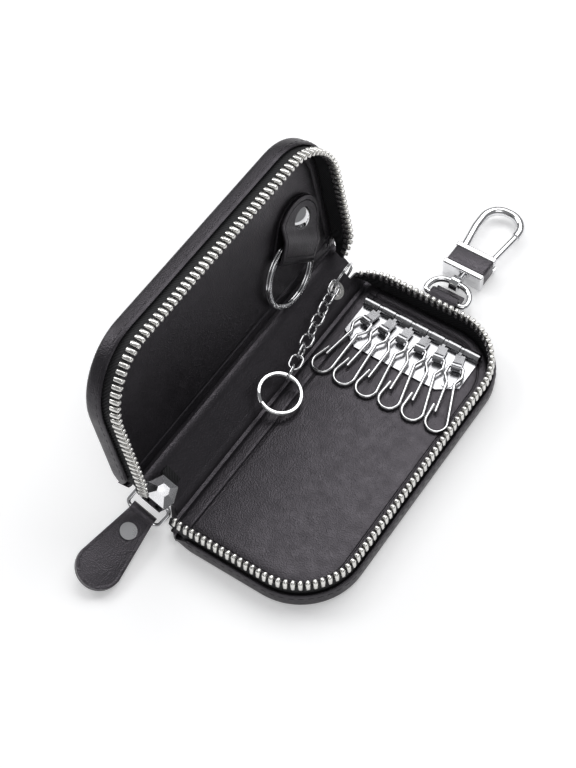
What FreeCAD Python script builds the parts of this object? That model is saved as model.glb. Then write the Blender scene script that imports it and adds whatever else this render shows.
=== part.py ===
import FreeCAD, Part
import math
import os

import Sketcher
from FreeCAD import Placement, Rotation, Vector

# Zip-around leather key case, open, lying on its lower half.
# +X runs from the spine fold to the free edge, +Y to the clasp end, +Z up.
# The origin is the centre of the lower half's underside. Millimetres and degrees.

SIZES = {
    # One half of the case: leather cover, board, lining
    "case_width": 58,
    "case_length": 119,
    "corner_radius": 22,
    "fold_gap": 0.2,
    "wall_start": 8,
    "cover_floor": 1.4,
    "cover_wall": 1.2,
    "cover_height": 6,
    "cover_round": 1.1,
    "board_thick": 1,
    "lining_thick": 1,
    "seam_gap": 0.25,
    "cut_overrun": 2,
    # Zipper tape and metal teeth
    "tape_thick": 0.8,
    "tape_top": 10.2,
    "tooth_top": 12,
    "tooth_leg": 1.7,
    "tooth_thick": 2.4,
    "tooth_width": 1.5,
    "tooth_pitch": 2.25,
    "tooth_tip": 1.2,
    "tooth_clear": 0.06,
    "tooth_shoulder": 0.9,
    "closed_teeth_gap": 0.4,
    # Spine strip between the two folds
    "spine_angle": 40,
    "lid_angle": 40,
    "spine_drop": 0.5,
    "spine_lining_thick": 0.6,
    "spine_cover_thick": 1,
    "spine_near_inset": 8.9,
    "spine_far_inset": 6.5,
    # Eyelet and the split ring through it
    "eyelet_s": 7,
    "eyelet_inset": 7.4,
    "eyelet_hole": 4.2,
    "eyelet_barrel": 4.8,
    "eyelet_flange": 6.5,
    "eyelet_lip": 0.3,
    "eyelet_ring_radius": 5.6,
    "eyelet_ring_wire": 1.2,
    "eyelet_ring_clear": 1.3,
    "eyelet_ring_angle": 28,
    "eyelet_ring_bias": 0.45,
    # Curb chain and its key ring
    "link_wire": 0.9,
    "link_width": 4,
    "link_slack": 0.25,
    "link_pitch": 4.4,
    "chain_on_ring_angle": 22,
    "chain_heading_angle": 9.6,
    "chain_dip_angle": 4.5,
    "chain_roll_angle": 40,
    "chain_twist_angle": -50,
    "chain_ring_radius": 7,
    "chain_ring_wire": 1.5,
    "chain_ring_angle": -16,
    # Zip slider parked on the tape end of the spine
    "slider_s": 10.6,
    "slider_inset": 11.3,
    "slider_length": 8.6,
    "slider_half_width": 5.1,
    "slider_rear_half": 3,
    "slider_front_half": 3.6,
    "slider_lift": 1.4,
    "slider_roll_angle": 15,
    "slider_plate": 1,
    "slider_channel": 2.8,
    "slider_wedge": 2.2,
    "slider_wedge_length": 2.4,
    "slider_facet": 1.5,
    "end_tape_half_width": 3.1,
    "end_tape_run": 7.6,
    "end_tape_floor": 2.8,
    "end_tape_slope": 2,
    "crown_middle": 5.6,
    "crown_clear": 0.15,
    "crown_width": 2,
    "crown_bar": 0.8,
    # Pull loop, leather pull tab and its rivet
    "pull_wire": 1.4,
    "pull_loop_width": 12.6,
    "pull_loop_length": 7,
    "pull_loop_corner": 1.7,
    "pull_angle": 46,
    "tab_dip_angle": 2,
    "tab_thick": 3,
    "tab_eye_clear": 0.3,
    "tab_eye_wall": 1,
    "tab_top_width": 9,
    "tab_end_width": 15,
    "tab_length": 29,
    "tab_rivet_run": 7.5,
    "tab_rivet_head": 5.6,
    "tab_rivet_lift": 0.5,
    "tab_rivet_shank": 2,
    # Key plate with its knuckles, rod and rivets
    "plate_fold_gap": 4.4,
    "plate_free_gap": 9.4,
    "plate_height": 17.3,
    "plate_thick": 0.8,
    "plate_corner_x": 6.5,
    "plate_corner_y": 4.5,
    "knuckle_inset": 10.7,
    "knuckle_outer": 3.4,
    "rod_diameter": 1.6,
    "rod_clear": 0.05,
    "hook_count": 6,
    "knuckle_slot": 1.5,
    "plate_rivet_head": 4,
    "plate_rivet_lift": 0.35,
    "plate_rivet_inset": 4.5,
    "plate_rivet_rise": 4.1,
    "plate_rivet_shank": 2,
    # Key hooks: sheet hanger and bent wire
    "hanger_eye": 3,
    "hanger_eye_width": 1.1,
    "hanger_width": 3.2,
    "hanger_thick": 0.9,
    "hanger_length": 7.6,
    "hanger_end": 3,
    "hanger_rise_angle": 8,
    "hook_dip_angle": 4,
    "hook_side_gap": 0.8,
    "hook_wire": 1.1,
    "hook_length": 25,
    "hook_bar_half": 2.4,
    "hook_bulb_half": 2.9,
    "hook_bulb_run": 3.4,
    "hook_neck_half": 1.3,
    "hook_neck_run": 6.2,
    "hook_gate_run": 15.5,
    "hook_gate_lap": 2.6,
    "hook_gate_gap": 0.15,
    "hook_corner": 0.9,
    "hook_first_angle": -9.8,
    "hook_step_angle": 4.75,
    # Ring strap on the lid, its rivet and its split ring
    "strap_u": 17,
    "strap_end_gap": 25.3,
    "strap_angle": 40,
    "strap_leather": 1,
    "strap_ring_room": 2.6,
    "strap_half_width": 9.5,
    "strap_end_radius": 11,
    "strap_straight": 10,
    "strap_pinch_start": 7.3,
    "strap_pinch_end": 8.6,
    "strap_pinch_gap": 0.2,
    "strap_rivet_x": 12.9,
    "strap_rivet_head": 8.4,
    "strap_rivet_dome": 1.9,
    "strap_rivet_shank": 3,
    "strap_ring_outer": 25,
    "strap_ring_band": 1.8,
    "strap_ring_thick": 1.8,
    "strap_ring_back": 5.5,
    "strap_ring_rise": 1.3,
    "strap_ring_angle": 0,
    # Clasp: leather loop, D-ring, swivel, body, gate
    "clasp_x": -3.6,
    "clasp_z": 3.5,
    "loop_width": 10.4,
    "loop_leather": 1.2,
    "loop_eye_out": 5.3,
    "loop_eye_clear": 0.25,
    "dring_wire": 2.2,
    "dring_width": 15.6,
    "dring_length": 7.8,
    "dring_corner": 1.8,
    "dring_bow": 5.6,
    "swivel_eye_clear": 0.3,
    "swivel_eye_wall": 1.2,
    "swivel_eye_width": 3,
    "swivel_stem": 2.4,
    "swivel_stem_run": 4.6,
    "swivel_head": 3.8,
    "swivel_head_thick": 1.2,
    "swivel_clear": 0.05,
    "frame_out": 3.6,
    "frame_width": 15.2,
    "frame_length": 10.8,
    "frame_thick": 7,
    "frame_rim": 2.2,
    "frame_core_inset": 1,
    "frame_rim_round": 0.5,
    "band_leather": 0.8,
    "frame_pocket": 5.6,
    "hook_bar": 3.2,
    "bow_root_half": 5.4,
    "bow_half": 7,
    "bow_rise": 21.8,
    "bow_corner": 6.4,
    "gate_gap": 0.6,
    "gate_bar": 2.4,
    "gate_meet": 13.2,
    "gate_pin": 0.9,
    "gate_eye": 2,
    "gate_slot": 2.6,
    "gate_spring_thick": 0.35,
}

doc = FreeCAD.newDocument("key_case")
sheet = doc.addObject("Spreadsheet::Sheet", "Sizes")
for row, (alias, number) in enumerate(SIZES.items(), start=1):
    sheet.set(f"A{row}", str(number))
    sheet.setAlias(f"A{row}", alias)
doc.recompute()


def size(alias):
    return float(sheet.get(alias))


# Levels and places that follow from the driving dimensions
fold_x = -size("case_width") / 2
fold_level = size("cover_floor") + size("board_thick") + size("lining_thick")
spine_width = 2 * (size("tooth_top") - fold_level) + size("closed_teeth_gap")
spine_top = -size("spine_drop")
spine_under = spine_top - size("spine_lining_thick") - size("spine_cover_thick")
tape_inset = size("cover_wall") + size("seam_gap")
panel_inset = tape_inset + size("tape_thick") + size("seam_gap")
overrun = size("cut_overrun")
case_end = size("case_length") / 2
spine_near = size("spine_near_inset") - case_end
spine_far = case_end - size("spine_far_inset")
eyelet_y = spine_far - size("eyelet_inset")

AXIS_X = Vector(1, 0, 0)
AXIS_Y = Vector(0, 1, 0)
AXIS_Z = Vector(0, 0, 1)
NO_TURN = Rotation()


def at(x, y, z, turn=NO_TURN):
    return Placement(Vector(x, y, z), turn)


# Rest places of the three leather panels. A half's own frame starts at its fold, outer face at zero;
# the spine's own frame starts at the lower fold and runs towards minus X.
lower_place = at(fold_x, 0, 0)
spine_place = at(fold_x, 0, fold_level, Rotation(AXIS_Y, size("spine_angle")))
lid_turned = at(-spine_width, 0, 0, Rotation(AXIS_Y, size("lid_angle")))
lid_flipped = at(0, 0, 0, Rotation(AXIS_Z, 180)).multiply(at(0, 0, -fold_level))
lid_place = spine_place.multiply(lid_turned).multiply(lid_flipped)

pieces = []


def keep(label, obj):
    obj.Label = label
    pieces.append(obj)
    return obj


def solid_feature(label, shape, placement=None):
    feature = doc.addObject("Part::Feature", label)
    feature.Shape = shape
    if placement is not None:
        feature.Placement = placement
    return keep(label, feature)


def box_between(low, high):
    return Part.makeBox(high.x - low.x, high.y - low.y, high.z - low.z, low)


def tangent_path(corners, radii, closed=False):
    """Straight runs joined by tangent arcs, one radius for each corner."""
    count = len(corners)
    starts, ends, arcs = [], [], []
    for i, corner in enumerate(corners):
        open_end = not closed and i in (0, count - 1)
        if open_end or radii[i] == 0:
            starts.append(corner)
            ends.append(corner)
            arcs.append(None)
            continue
        back = (corners[i - 1] - corner).normalize()
        ahead = (corners[(i + 1) % count] - corner).normalize()
        half = back.getAngle(ahead) / 2
        run = radii[i] / math.tan(half)
        middle = corner + (back + ahead).normalize() * (radii[i] / math.sin(half) - radii[i])
        starts.append(corner + back * run)
        ends.append(corner + ahead * run)
        arcs.append(Part.Arc(starts[-1], middle, ends[-1]).toShape())
    edges = []
    last = count if closed else count - 1
    for i in range(last):
        following = (i + 1) % count
        if (starts[following] - ends[i]).Length > Part.Vertex(0, 0, 0).Tolerance:
            edges.append(Part.LineSegment(ends[i], starts[following]).toShape())
        if arcs[following] is not None:
            edges.append(arcs[following])
    return Part.Wire(edges)


def round_bar(path, diameter):
    first = path.Edges[0]
    start = first.valueAt(first.FirstParameter)
    along = first.tangentAt(first.FirstParameter)
    section = Part.Wire(Part.makeCircle(diameter / 2, start, along))
    return path.makePipeShell([section], True, False)


# Plan outline of a half, straight at the fold and round at its two free corners
def named_sum(names):
    formula = " + ".join("Sizes." + alias for alias in names) or "0"
    return formula, sum(size(alias) for alias in names)


def half_outline(body, name, inset_names, start_name, level_names):
    inset_formula, inset = named_sum(inset_names)
    level_formula, _ = named_sum(level_names)
    sketch = body.newObject("Sketcher::SketchObject", name)
    plane = [f for f in body.Origin.OriginFeatures if f.Role == "XY_Plane"][0]
    sketch.AttachmentSupport = [(plane, "")]
    sketch.MapMode = "FlatFace"
    wide, tall = size("case_width") - inset, case_end - inset
    rad, near = size("corner_radius") - inset, size(start_name)
    sketch.addGeometry(Part.LineSegment(Vector(near, -tall, 0), Vector(wide - rad, -tall, 0)))
    low_centre = Vector(wide - rad, -tall + rad, 0)
    high_centre = Vector(wide - rad, tall - rad, 0)
    quarter = math.pi / 2
    sketch.addGeometry(Part.ArcOfCircle(Part.Circle(low_centre, AXIS_Z, rad), -quarter, 0))
    sketch.addGeometry(Part.LineSegment(Vector(wide, -tall + rad, 0), Vector(wide, tall - rad, 0)))
    sketch.addGeometry(Part.ArcOfCircle(Part.Circle(high_centre, AXIS_Z, rad), 0, quarter))
    sketch.addGeometry(Part.LineSegment(Vector(wide - rad, tall, 0), Vector(near, tall, 0)))
    sketch.addGeometry(Part.LineSegment(Vector(near, tall, 0), Vector(near, -tall, 0)))
    for first in range(4):
        sketch.addConstraint(Sketcher.Constraint("Tangent", first, 2, first + 1, 1))
    sketch.addConstraint(Sketcher.Constraint("Coincident", 4, 2, 5, 1))
    sketch.addConstraint(Sketcher.Constraint("Coincident", 5, 2, 0, 1))
    sketch.addConstraint(Sketcher.Constraint("Horizontal", 0))
    sketch.addConstraint(Sketcher.Constraint("Vertical", 2))
    sketch.addConstraint(Sketcher.Constraint("Equal", 1, 3))
    sketch.addConstraint(Sketcher.Constraint("Symmetric", 0, 1, 4, 2, -1))
    limits = {
        "wide": (("DistanceX", -1, 1, 2, 1, wide), f"Sizes.case_width - ({inset_formula})"),
        "tall": (("DistanceY", 0, 1, 4, 2, 2 * tall), f"Sizes.case_length - 2 * ({inset_formula})"),
        "corner": (("Radius", 1, rad), f"Sizes.corner_radius - ({inset_formula})"),
        "start": (("DistanceX", -1, 1, 0, 1, near), "Sizes." + start_name),
    }
    for title, (limit, formula) in limits.items():
        index = sketch.addConstraint(Sketcher.Constraint(*limit))
        sketch.renameConstraint(index, title)
        sketch.setExpression(f"Constraints.{title}", formula)
    sketch.setExpression(".AttachmentOffset.Base.z", level_formula)
    return sketch


def new_body(label, placement):
    body = doc.addObject("PartDesign::Body", label)
    body.Placement = placement
    return keep(label, body)


def pad(body, sketch, length):
    feature = body.newObject("PartDesign::Pad", sketch.Name + "_pad")
    feature.Profile = sketch
    feature.setExpression("Length", length)
    return feature


def pocket(body, sketch, length):
    feature = body.newObject("PartDesign::Pocket", sketch.Name + "_cut")
    feature.Profile = sketch
    feature.setExpression("Length", length)
    return feature


INSIDE_COVER = ("cover_wall",)
TAPE_OUTSIDE = ("cover_wall", "seam_gap")
TAPE_INSIDE = TAPE_OUTSIDE + ("tape_thick",)
PANEL_EDGE = TAPE_INSIDE + ("seam_gap",)
BOARD_LEVEL = ("cover_floor",)
LINING_LEVEL = ("cover_floor", "board_thick")


# Leather cover of one half: a floor with a low wall on three sides
def make_cover(label, placement):
    body = new_body(label, placement)
    pad(body, half_outline(body, label + "_floor", (), "fold_gap", ()), "Sizes.cover_floor")
    pad(body, half_outline(body, label + "_wall", (), "wall_start", ()), "Sizes.cover_height")
    inner = half_outline(body, label + "_inner", INSIDE_COVER, "seam_gap", ("cover_height",))
    hollow = pocket(body, inner, "Sizes.cover_height - Sizes.cover_floor")
    doc.recompute()
    rim = []
    for index, edge in enumerate(hollow.Shape.Edges, start=1):
        flat = edge.BoundBox.ZMax < size("cover_floor") / 2
        if flat and edge.BoundBox.XMax > size("wall_start"):
            rim.append(f"Edge{index}")
    rounding = body.newObject("PartDesign::Fillet", label + "_round")
    rounding.Base = (hollow, rim)
    rounding.setExpression("Radius", "Sizes.cover_round")
    return body


# Flat sheet of one half: stiffening board or lining leather
def make_sheet(label, placement, level, thick):
    body = new_body(label, placement)
    pad(body, half_outline(body, label + "_plan", PANEL_EDGE, "fold_gap", level), thick)
    return body


# Zipper tape of one half, standing inside the cover's wall
def make_tape(label, placement):
    body = new_body(label, placement)
    height = "Sizes.tape_top - Sizes.cover_floor"
    pad(body, half_outline(body, label + "_outer", TAPE_OUTSIDE, "wall_start", BOARD_LEVEL), height)
    pocket(body, half_outline(body, label + "_inner", TAPE_INSIDE, "seam_gap", ("tape_top",)), height)
    return body


# Metal teeth of one half: a clamp over the tape's edge at each step of the row
def make_teeth(label, placement):
    inset = tape_inset + size("tape_thick") / 2
    half_thick, half_tip = size("tooth_thick") / 2, size("tooth_tip") / 2
    half_gap = size("tape_thick") / 2 + size("tooth_clear")
    top, clamp = size("tooth_top"), size("tape_top") + size("tooth_clear")
    shoulder, foot = top - size("tooth_shoulder"), clamp - size("tooth_leg")
    profile = [
        (half_gap, foot), (half_thick, foot), (half_thick, shoulder), (half_tip, top),
        (-half_tip, top), (-half_thick, shoulder), (-half_thick, foot), (-half_gap, foot),
        (-half_gap, clamp), (half_gap, clamp), (half_gap, foot),
    ]
    start = -size("tooth_width") / 2
    outline = Part.makePolygon([Vector(start, across, up) for across, up in profile])
    tooth = Part.Face(outline).extrude(Vector(size("tooth_width"), 0, 0))
    radius = size("corner_radius") - inset
    side = size("case_width") - size("corner_radius")
    reach = case_end - inset
    first = size("wall_start") + size("tooth_width")
    end_run, arc_run = side - first, radius * math.pi / 2
    long_run = 2 * (reach - radius)
    total = 2 * end_run + 2 * arc_run + long_run
    steps = int(total / size("tooth_pitch"))
    teeth = []
    for step in range(steps + 1):
        run = step * total / steps
        if run <= end_run:
            spot, heading = Vector(first + run, -reach, 0), 0
        elif run <= end_run + arc_run:
            heading = math.degrees((run - end_run) / radius)
            spot = Vector(side, radius - reach, 0) + Rotation(AXIS_Z, heading - 90).multVec(AXIS_X) * radius
        elif run <= end_run + arc_run + long_run:
            spot = Vector(side + radius, radius - reach + run - end_run - arc_run, 0)
            heading = 90
        elif run <= end_run + 2 * arc_run + long_run:
            heading = 90 + math.degrees((run - end_run - arc_run - long_run) / radius)
            spot = Vector(side, reach - radius, 0) + Rotation(AXIS_Z, heading - 90).multVec(AXIS_X) * radius
        else:
            spot, heading = Vector(first + total - run, reach, 0), 180
        one = tooth.copy()
        one.Placement = Placement(spot, Rotation(AXIS_Z, heading))
        teeth.append(one)
    return solid_feature(label, Part.makeCompound(teeth), placement)


for half, half_place in (("lower", lower_place), ("lid", lid_place)):
    make_cover(half + "_cover", half_place)
    make_sheet(half + "_board", half_place, BOARD_LEVEL, "Sizes.board_thick")
    make_sheet(half + "_lining", half_place, LINING_LEVEL, "Sizes.lining_thick")
    make_tape(half + "_tape", half_place)
    make_teeth(half + "_teeth", half_place)

# Spine: lining over leather, one strip between the folds, pierced for the eyelet
eyelet_s = size("eyelet_s")


def spine_strip(label, top, thick):
    near_edge, far_edge = -size("fold_gap"), size("fold_gap") - spine_width
    strip = box_between(Vector(far_edge, spine_near, top - thick), Vector(near_edge, spine_far, top))
    hole_at = Vector(-eyelet_s, eyelet_y, top - thick - overrun)
    hole = Part.makeCylinder(size("eyelet_barrel") / 2, thick + 2 * overrun, hole_at)
    return solid_feature(label, strip.cut(hole), spine_place)


spine_strip("spine_lining", spine_top, size("spine_lining_thick"))
spine_strip("spine_cover", spine_top - size("spine_lining_thick"), size("spine_cover_thick"))

# Eyelet: a barrel through the spine with a lip clenched over each face
lip = size("eyelet_lip")
leather_thick = spine_top - spine_under
barrel = Part.makeCylinder(size("eyelet_barrel") / 2, leather_thick + 2 * lip, Vector(0, 0, -lip))
for lip_level in (-lip, leather_thick):
    barrel = barrel.fuse(Part.makeCylinder(size("eyelet_flange") / 2, lip, Vector(0, 0, lip_level)))
bore = Part.makeCylinder(size("eyelet_hole") / 2, leather_thick + 2 * overrun, Vector(0, 0, -overrun))
eyelet_place = spine_place.multiply(at(-eyelet_s, eyelet_y, spine_under))
solid_feature("eyelet", barrel.cut(bore).removeSplitter(), eyelet_place)

# Split ring through the eyelet and round the far end of the spine
ring_radius = size("eyelet_ring_radius")
ring_wire = size("eyelet_ring_wire")
chord_end = spine_far + ring_wire / 2 + size("eyelet_ring_clear")
chord_start = eyelet_y - size("eyelet_ring_bias")
half_chord = (chord_end - chord_start) / 2
ring_mid_y = chord_start + half_chord
leather_mid = (spine_top + spine_under) / 2
ring_rise = math.sqrt(ring_radius ** 2 - half_chord ** 2)
ring_frame = spine_place.multiply(
    at(-eyelet_s, ring_mid_y, leather_mid, Rotation(AXIS_Y, -size("eyelet_ring_angle")))
)
eyelet_ring = doc.addObject("Part::Torus", "eyelet_ring")
eyelet_ring.setExpression("Radius1", "Sizes.eyelet_ring_radius")
eyelet_ring.setExpression("Radius2", "Sizes.eyelet_ring_wire / 2")
eyelet_ring.Placement = ring_frame.multiply(at(0, 0, ring_rise, Rotation(AXIS_Y, 90)))
keep("eyelet_ring", eyelet_ring)

# Curb chain: oval links lying half over, each turned about a quarter from the last
LINK_COUNT = 9
heading, dip = math.radians(size("chain_heading_angle")), math.radians(size("chain_dip_angle"))
on_ring = math.radians(size("chain_on_ring_angle"))
chain_along = Vector(
    math.cos(dip) * math.sin(heading), -math.cos(dip) * math.cos(heading), -math.sin(dip)
)
held_at = ring_frame.multVec(
    Vector(0, -ring_radius * math.cos(on_ring), ring_rise + ring_radius * math.sin(on_ring))
)
chain_start = held_at - chain_along * ((ring_wire + size("link_slack")) / 2)
link_pitch = size("link_pitch")
link_long = link_pitch + size("link_wire") + size("link_slack")
link_wide = size("link_width")


def link_shape():
    x_end, y_end = link_long / 2, link_wide / 2
    mid = Vector(0, -y_end, 0)
    corners = [mid, Vector(x_end, -y_end, 0), Vector(x_end, y_end, 0), Vector(-x_end, y_end, 0),
               Vector(-x_end, -y_end, 0), mid]
    bend_share = 0.96
    bend = y_end * bend_share
    path = tangent_path(corners, [0, bend, bend, bend, bend, 0])
    return round_bar(path, size("link_wire"))


link = link_shape()
chain_side = chain_along.cross(AXIS_Z).normalize()
chain_up = chain_side.cross(chain_along).normalize()
chain_frame = Rotation(chain_along, chain_up, chain_side, "XYZ")
for index in range(LINK_COUNT):
    twist = size("chain_twist_angle") * index / (LINK_COUNT - 1)
    roll = size("chain_roll_angle") + twist + 90 * (index % 2)
    centre = chain_start + chain_along * (link_pitch * (index + 0.5))
    link_place = Placement(centre, Rotation(chain_along, roll).multiply(chain_frame))
    solid_feature(f"chain_link_{index + 1}", link.copy(), link_place)

# Key ring at the end of the chain, lying across the fold
ring_gap = size("link_wire") / 2 + size("chain_ring_wire") / 2 + size("link_slack")
last_link_end = chain_start + chain_along * (link_pitch * (LINK_COUNT - 0.5) + link_long / 2)
ring_top = last_link_end - chain_along * ring_gap
chain_ring_centre = ring_top + chain_along * size("chain_ring_radius")
flat_frame = Rotation(chain_along, chain_side, chain_up, "XYZ")
chain_ring = doc.addObject("Part::Torus", "chain_ring")
chain_ring.setExpression("Radius1", "Sizes.chain_ring_radius")
chain_ring.setExpression("Radius2", "Sizes.chain_ring_wire / 2")
chain_ring.Placement = Placement(
    chain_ring_centre, Rotation(chain_along, size("chain_ring_angle")).multiply(flat_frame)
)
keep("chain_ring", chain_ring)

# Zip tape end: sewn flat on the spine, then rising into the slider's channel
slider_s, slider_y = size("slider_s"), size("slider_inset") - case_end
half_channel, plate = size("slider_channel") / 2, size("slider_plate")
slider_level = spine_top + size("slider_lift") + plate + half_channel
tape_thick = size("tape_thick")
tape_start = spine_near + size("end_tape_run")
tape_bend = tape_start - size("end_tape_floor")
tape_up = tape_bend - size("end_tape_slope")
tape_reach = slider_y - size("slider_length") + size("slider_wedge_length") + size("seam_gap")
tape_mid = slider_level - tape_thick / 2
tape_x = -slider_s - size("end_tape_half_width")
tape_outline = Part.makePolygon([
    Vector(tape_x, tape_start, spine_top), Vector(tape_x, tape_start, spine_top + tape_thick),
    Vector(tape_x, tape_bend, spine_top + tape_thick), Vector(tape_x, tape_up, tape_mid + tape_thick),
    Vector(tape_x, tape_reach, tape_mid + tape_thick), Vector(tape_x, tape_reach, tape_mid),
    Vector(tape_x, tape_up, tape_mid), Vector(tape_x, tape_bend, spine_top), Vector(tape_x, tape_start, spine_top),
])
tape_end = Part.Face(tape_outline).extrude(Vector(2 * size("end_tape_half_width"), 0, 0))
solid_feature("zip_end_tape", tape_end, spine_place)


# Slider: a shield plate on each side of the tape, drawn with its wedge end up
def shield(y_low, thick):
    half, rear, front = size("slider_half_width"), size("slider_rear_half"), size("slider_front_half")
    waist_share = 0.58
    long = size("slider_length")
    waist = long * waist_share
    corners = [(-rear, 0), (rear, 0), (half, waist), (front, long), (-front, long), (-half, waist), (-rear, 0)]
    outline = Part.makePolygon([Vector(across, y_low, up) for across, up in corners])
    return outline, Part.Face(outline).extrude(Vector(0, thick, 0))


# Gem facets on the inner plate: a ruled loft from its outline to a smaller one
def facets(outline, thick, lift):
    small_share = 0.4
    base = outline.translated(Vector(0, thick, 0))
    centre = base.BoundBox.Center
    small = base.copy()
    small.scale(small_share, centre)
    small.translate(Vector(0, lift, 0))
    return Part.makeLoft([base, small], True, True)


slider_long = size("slider_length")
inner_outline, inner_plate = shield(half_channel, plate)
inner_plate = inner_plate.fuse(facets(inner_outline, plate, size("slider_facet")))
_, outer_plate = shield(-half_channel - plate, plate)
wedge = box_between(
    Vector(-size("slider_wedge") / 2, -half_channel, slider_long - size("slider_wedge_length")),
    Vector(size("slider_wedge") / 2, half_channel, slider_long),
)

# Crown under the outer plate: a bridge with room for the pull loop
crown_half = size("crown_width") / 2
crown_bar = size("crown_bar")
window_reach = size("pull_wire") / 2 + size("crown_clear")
crown_mid = size("crown_middle")
crown_face = -half_channel - plate
window_half = window_reach
crown_reach = window_half + crown_bar
crown = box_between(
    Vector(-crown_half, crown_face - 2 * window_reach - crown_bar, crown_mid - crown_reach),
    Vector(crown_half, crown_face, crown_mid + crown_reach),
)
window = box_between(
    Vector(-crown_half - overrun, crown_face - 2 * window_reach, crown_mid - window_half),
    Vector(crown_half + overrun, crown_face, crown_mid + window_half),
)
slider = inner_plate.fuse([outer_plate, wedge, crown.cut(window)]).removeSplitter()
slider_turn = Rotation(AXIS_Y, -size("slider_roll_angle"))
slider_frame = spine_place.multiply(at(-slider_s, slider_y, slider_level, slider_turn))
slider_place = slider_frame.multiply(Placement(Vector(0, 0, 0), Rotation(AXIS_X, 90)))
solid_feature("slider", slider, slider_place)

# Pull loop: a bent wire through the crown, hanging out and down
loop_pivot = slider_place.multVec(Vector(0, crown_face - window_reach, crown_mid))
pull_turn = slider_frame.Rotation
loop_half = size("pull_loop_width") / 2
loop_long = size("pull_loop_length")
loop_corners = [
    Vector(0, 0, 0), Vector(loop_half, 0, 0), Vector(loop_half, -loop_long, 0),
    Vector(-loop_half, -loop_long, 0), Vector(-loop_half, 0, 0), Vector(0, 0, 0),
]
loop_bend = size("pull_loop_corner")
loop_path = tangent_path(loop_corners, [0, loop_bend, loop_bend, loop_bend, loop_bend, 0])
loop_place = Placement(loop_pivot, pull_turn.multiply(Rotation(AXIS_X, size("pull_angle"))))
solid_feature("pull_loop", round_bar(loop_path, size("pull_wire")), loop_place)

# Leather pull tab: two layers folded round the loop's lower bar, wider to its round end
tab_pivot = loop_place.multVec(Vector(0, -loop_long, 0))
eye_radius = size("pull_wire") / 2 + size("tab_eye_clear")
eye_outer = eye_radius + size("tab_eye_wall")
tab_half_thick = size("tab_thick") / 2
top_half, end_half = size("tab_top_width") / 2, size("tab_end_width") / 2
tab_end = -size("tab_length")
round_start = tab_end + end_half
tab_edges = [
    Part.LineSegment(Vector(-top_half, 0, 0), Vector(-end_half, round_start, 0)).toShape(),
    Part.Arc(Vector(-end_half, round_start, 0), Vector(0, tab_end, 0), Vector(end_half, round_start, 0)).toShape(),
    Part.LineSegment(Vector(end_half, round_start, 0), Vector(top_half, 0, 0)).toShape(),
    Part.LineSegment(Vector(top_half, 0, 0), Vector(-top_half, 0, 0)).toShape(),
]
tab_plan = Part.Face(Part.Wire(tab_edges))
tab_leaf = tab_plan.extrude(Vector(0, 0, size("tab_thick")))
tab_leaf.translate(Vector(0, 0, -tab_half_thick))
tab_fold = Part.makeCylinder(eye_outer, 2 * top_half, Vector(-top_half, 0, 0), AXIS_X)
tab_eye = Part.makeCylinder(eye_radius, 2 * top_half + 2 * overrun, Vector(-top_half - overrun, 0, 0), AXIS_X)
rivet_run = -size("tab_rivet_run")
shank_radius = size("tab_rivet_shank") / 2
tab_hole = Part.makeCylinder(shank_radius, 2 * eye_outer, Vector(0, rivet_run, -eye_outer))
tab = tab_leaf.fuse(tab_fold).cut(tab_eye).cut(tab_hole).removeSplitter()
tab_place = Placement(tab_pivot, pull_turn.multiply(Rotation(AXIS_X, size("tab_dip_angle"))))
solid_feature("pull_tab", tab, tab_place)

# Rivet that holds the tab's two layers
head_radius, head_lift = size("tab_rivet_head") / 2, size("tab_rivet_lift")
rivet = Part.makeCylinder(shank_radius, 2 * tab_half_thick, Vector(0, rivet_run, -tab_half_thick))
rivet = rivet.fuse(Part.makeCylinder(head_radius, head_lift, Vector(0, rivet_run, tab_half_thick)))
rivet = rivet.fuse(Part.makeCylinder(head_radius, head_lift, Vector(0, rivet_run, -tab_half_thick - head_lift)))
solid_feature("tab_rivet", rivet.removeSplitter(), tab_place)

# Key plate: sheet with chamfered lower corners, its top edge rolled into knuckles round the rod
hook_count = int(size("hook_count"))
plate_left = fold_x + size("plate_fold_gap")
plate_right = -fold_x - size("plate_free_gap")
plate_width = plate_right - plate_left
plate_thick = size("plate_thick")
knuckle_radius = size("knuckle_outer") / 2
knuckle_y, knuckle_z = case_end - size("knuckle_inset"), fold_level + knuckle_radius
plate_low = knuckle_y - size("plate_height")
corner_x, corner_y = size("plate_corner_x"), size("plate_corner_y")
plate_corners = [
    (plate_left, knuckle_y), (plate_left, plate_low + corner_y), (plate_left + corner_x, plate_low),
    (plate_right - corner_x, plate_low), (plate_right, plate_low + corner_y), (plate_right, knuckle_y),
    (plate_left, knuckle_y),
]
plate_outline = Part.makePolygon([Vector(x, y, fold_level) for x, y in plate_corners])
key_plate = Part.Face(plate_outline).extrude(Vector(0, 0, plate_thick))
roll_start = Vector(plate_left, knuckle_y, knuckle_z)
key_plate = key_plate.fuse(Part.makeCylinder(knuckle_radius, plate_width, roll_start, AXIS_X))
rod_radius = size("rod_diameter") / 2
rod_hole = Part.makeCylinder(
    rod_radius, plate_width + 2 * overrun, roll_start - AXIS_X * overrun, AXIS_X
)
key_plate = key_plate.cut(rod_hole)
slot_half = size("knuckle_slot") / 2
slot_pitch = plate_width / (hook_count + 1)
slot_low = knuckle_y - knuckle_radius - size("rod_clear")
slots_x = [plate_left + slot_pitch * (index + 1) for index in range(hook_count)]
for slot_x in slots_x:
    slot = box_between(
        Vector(slot_x - slot_half, slot_low, fold_level - overrun),
        Vector(slot_x + slot_half, knuckle_y + knuckle_radius + overrun, knuckle_z + knuckle_radius + overrun),
    )
    key_plate = key_plate.cut(slot)
rivet_inset, plate_rivet_y = size("plate_rivet_inset"), plate_low + size("plate_rivet_rise")
rivets_x = [plate_left + rivet_inset, plate_right - rivet_inset]
plate_shank = size("plate_rivet_shank") / 2
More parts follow.
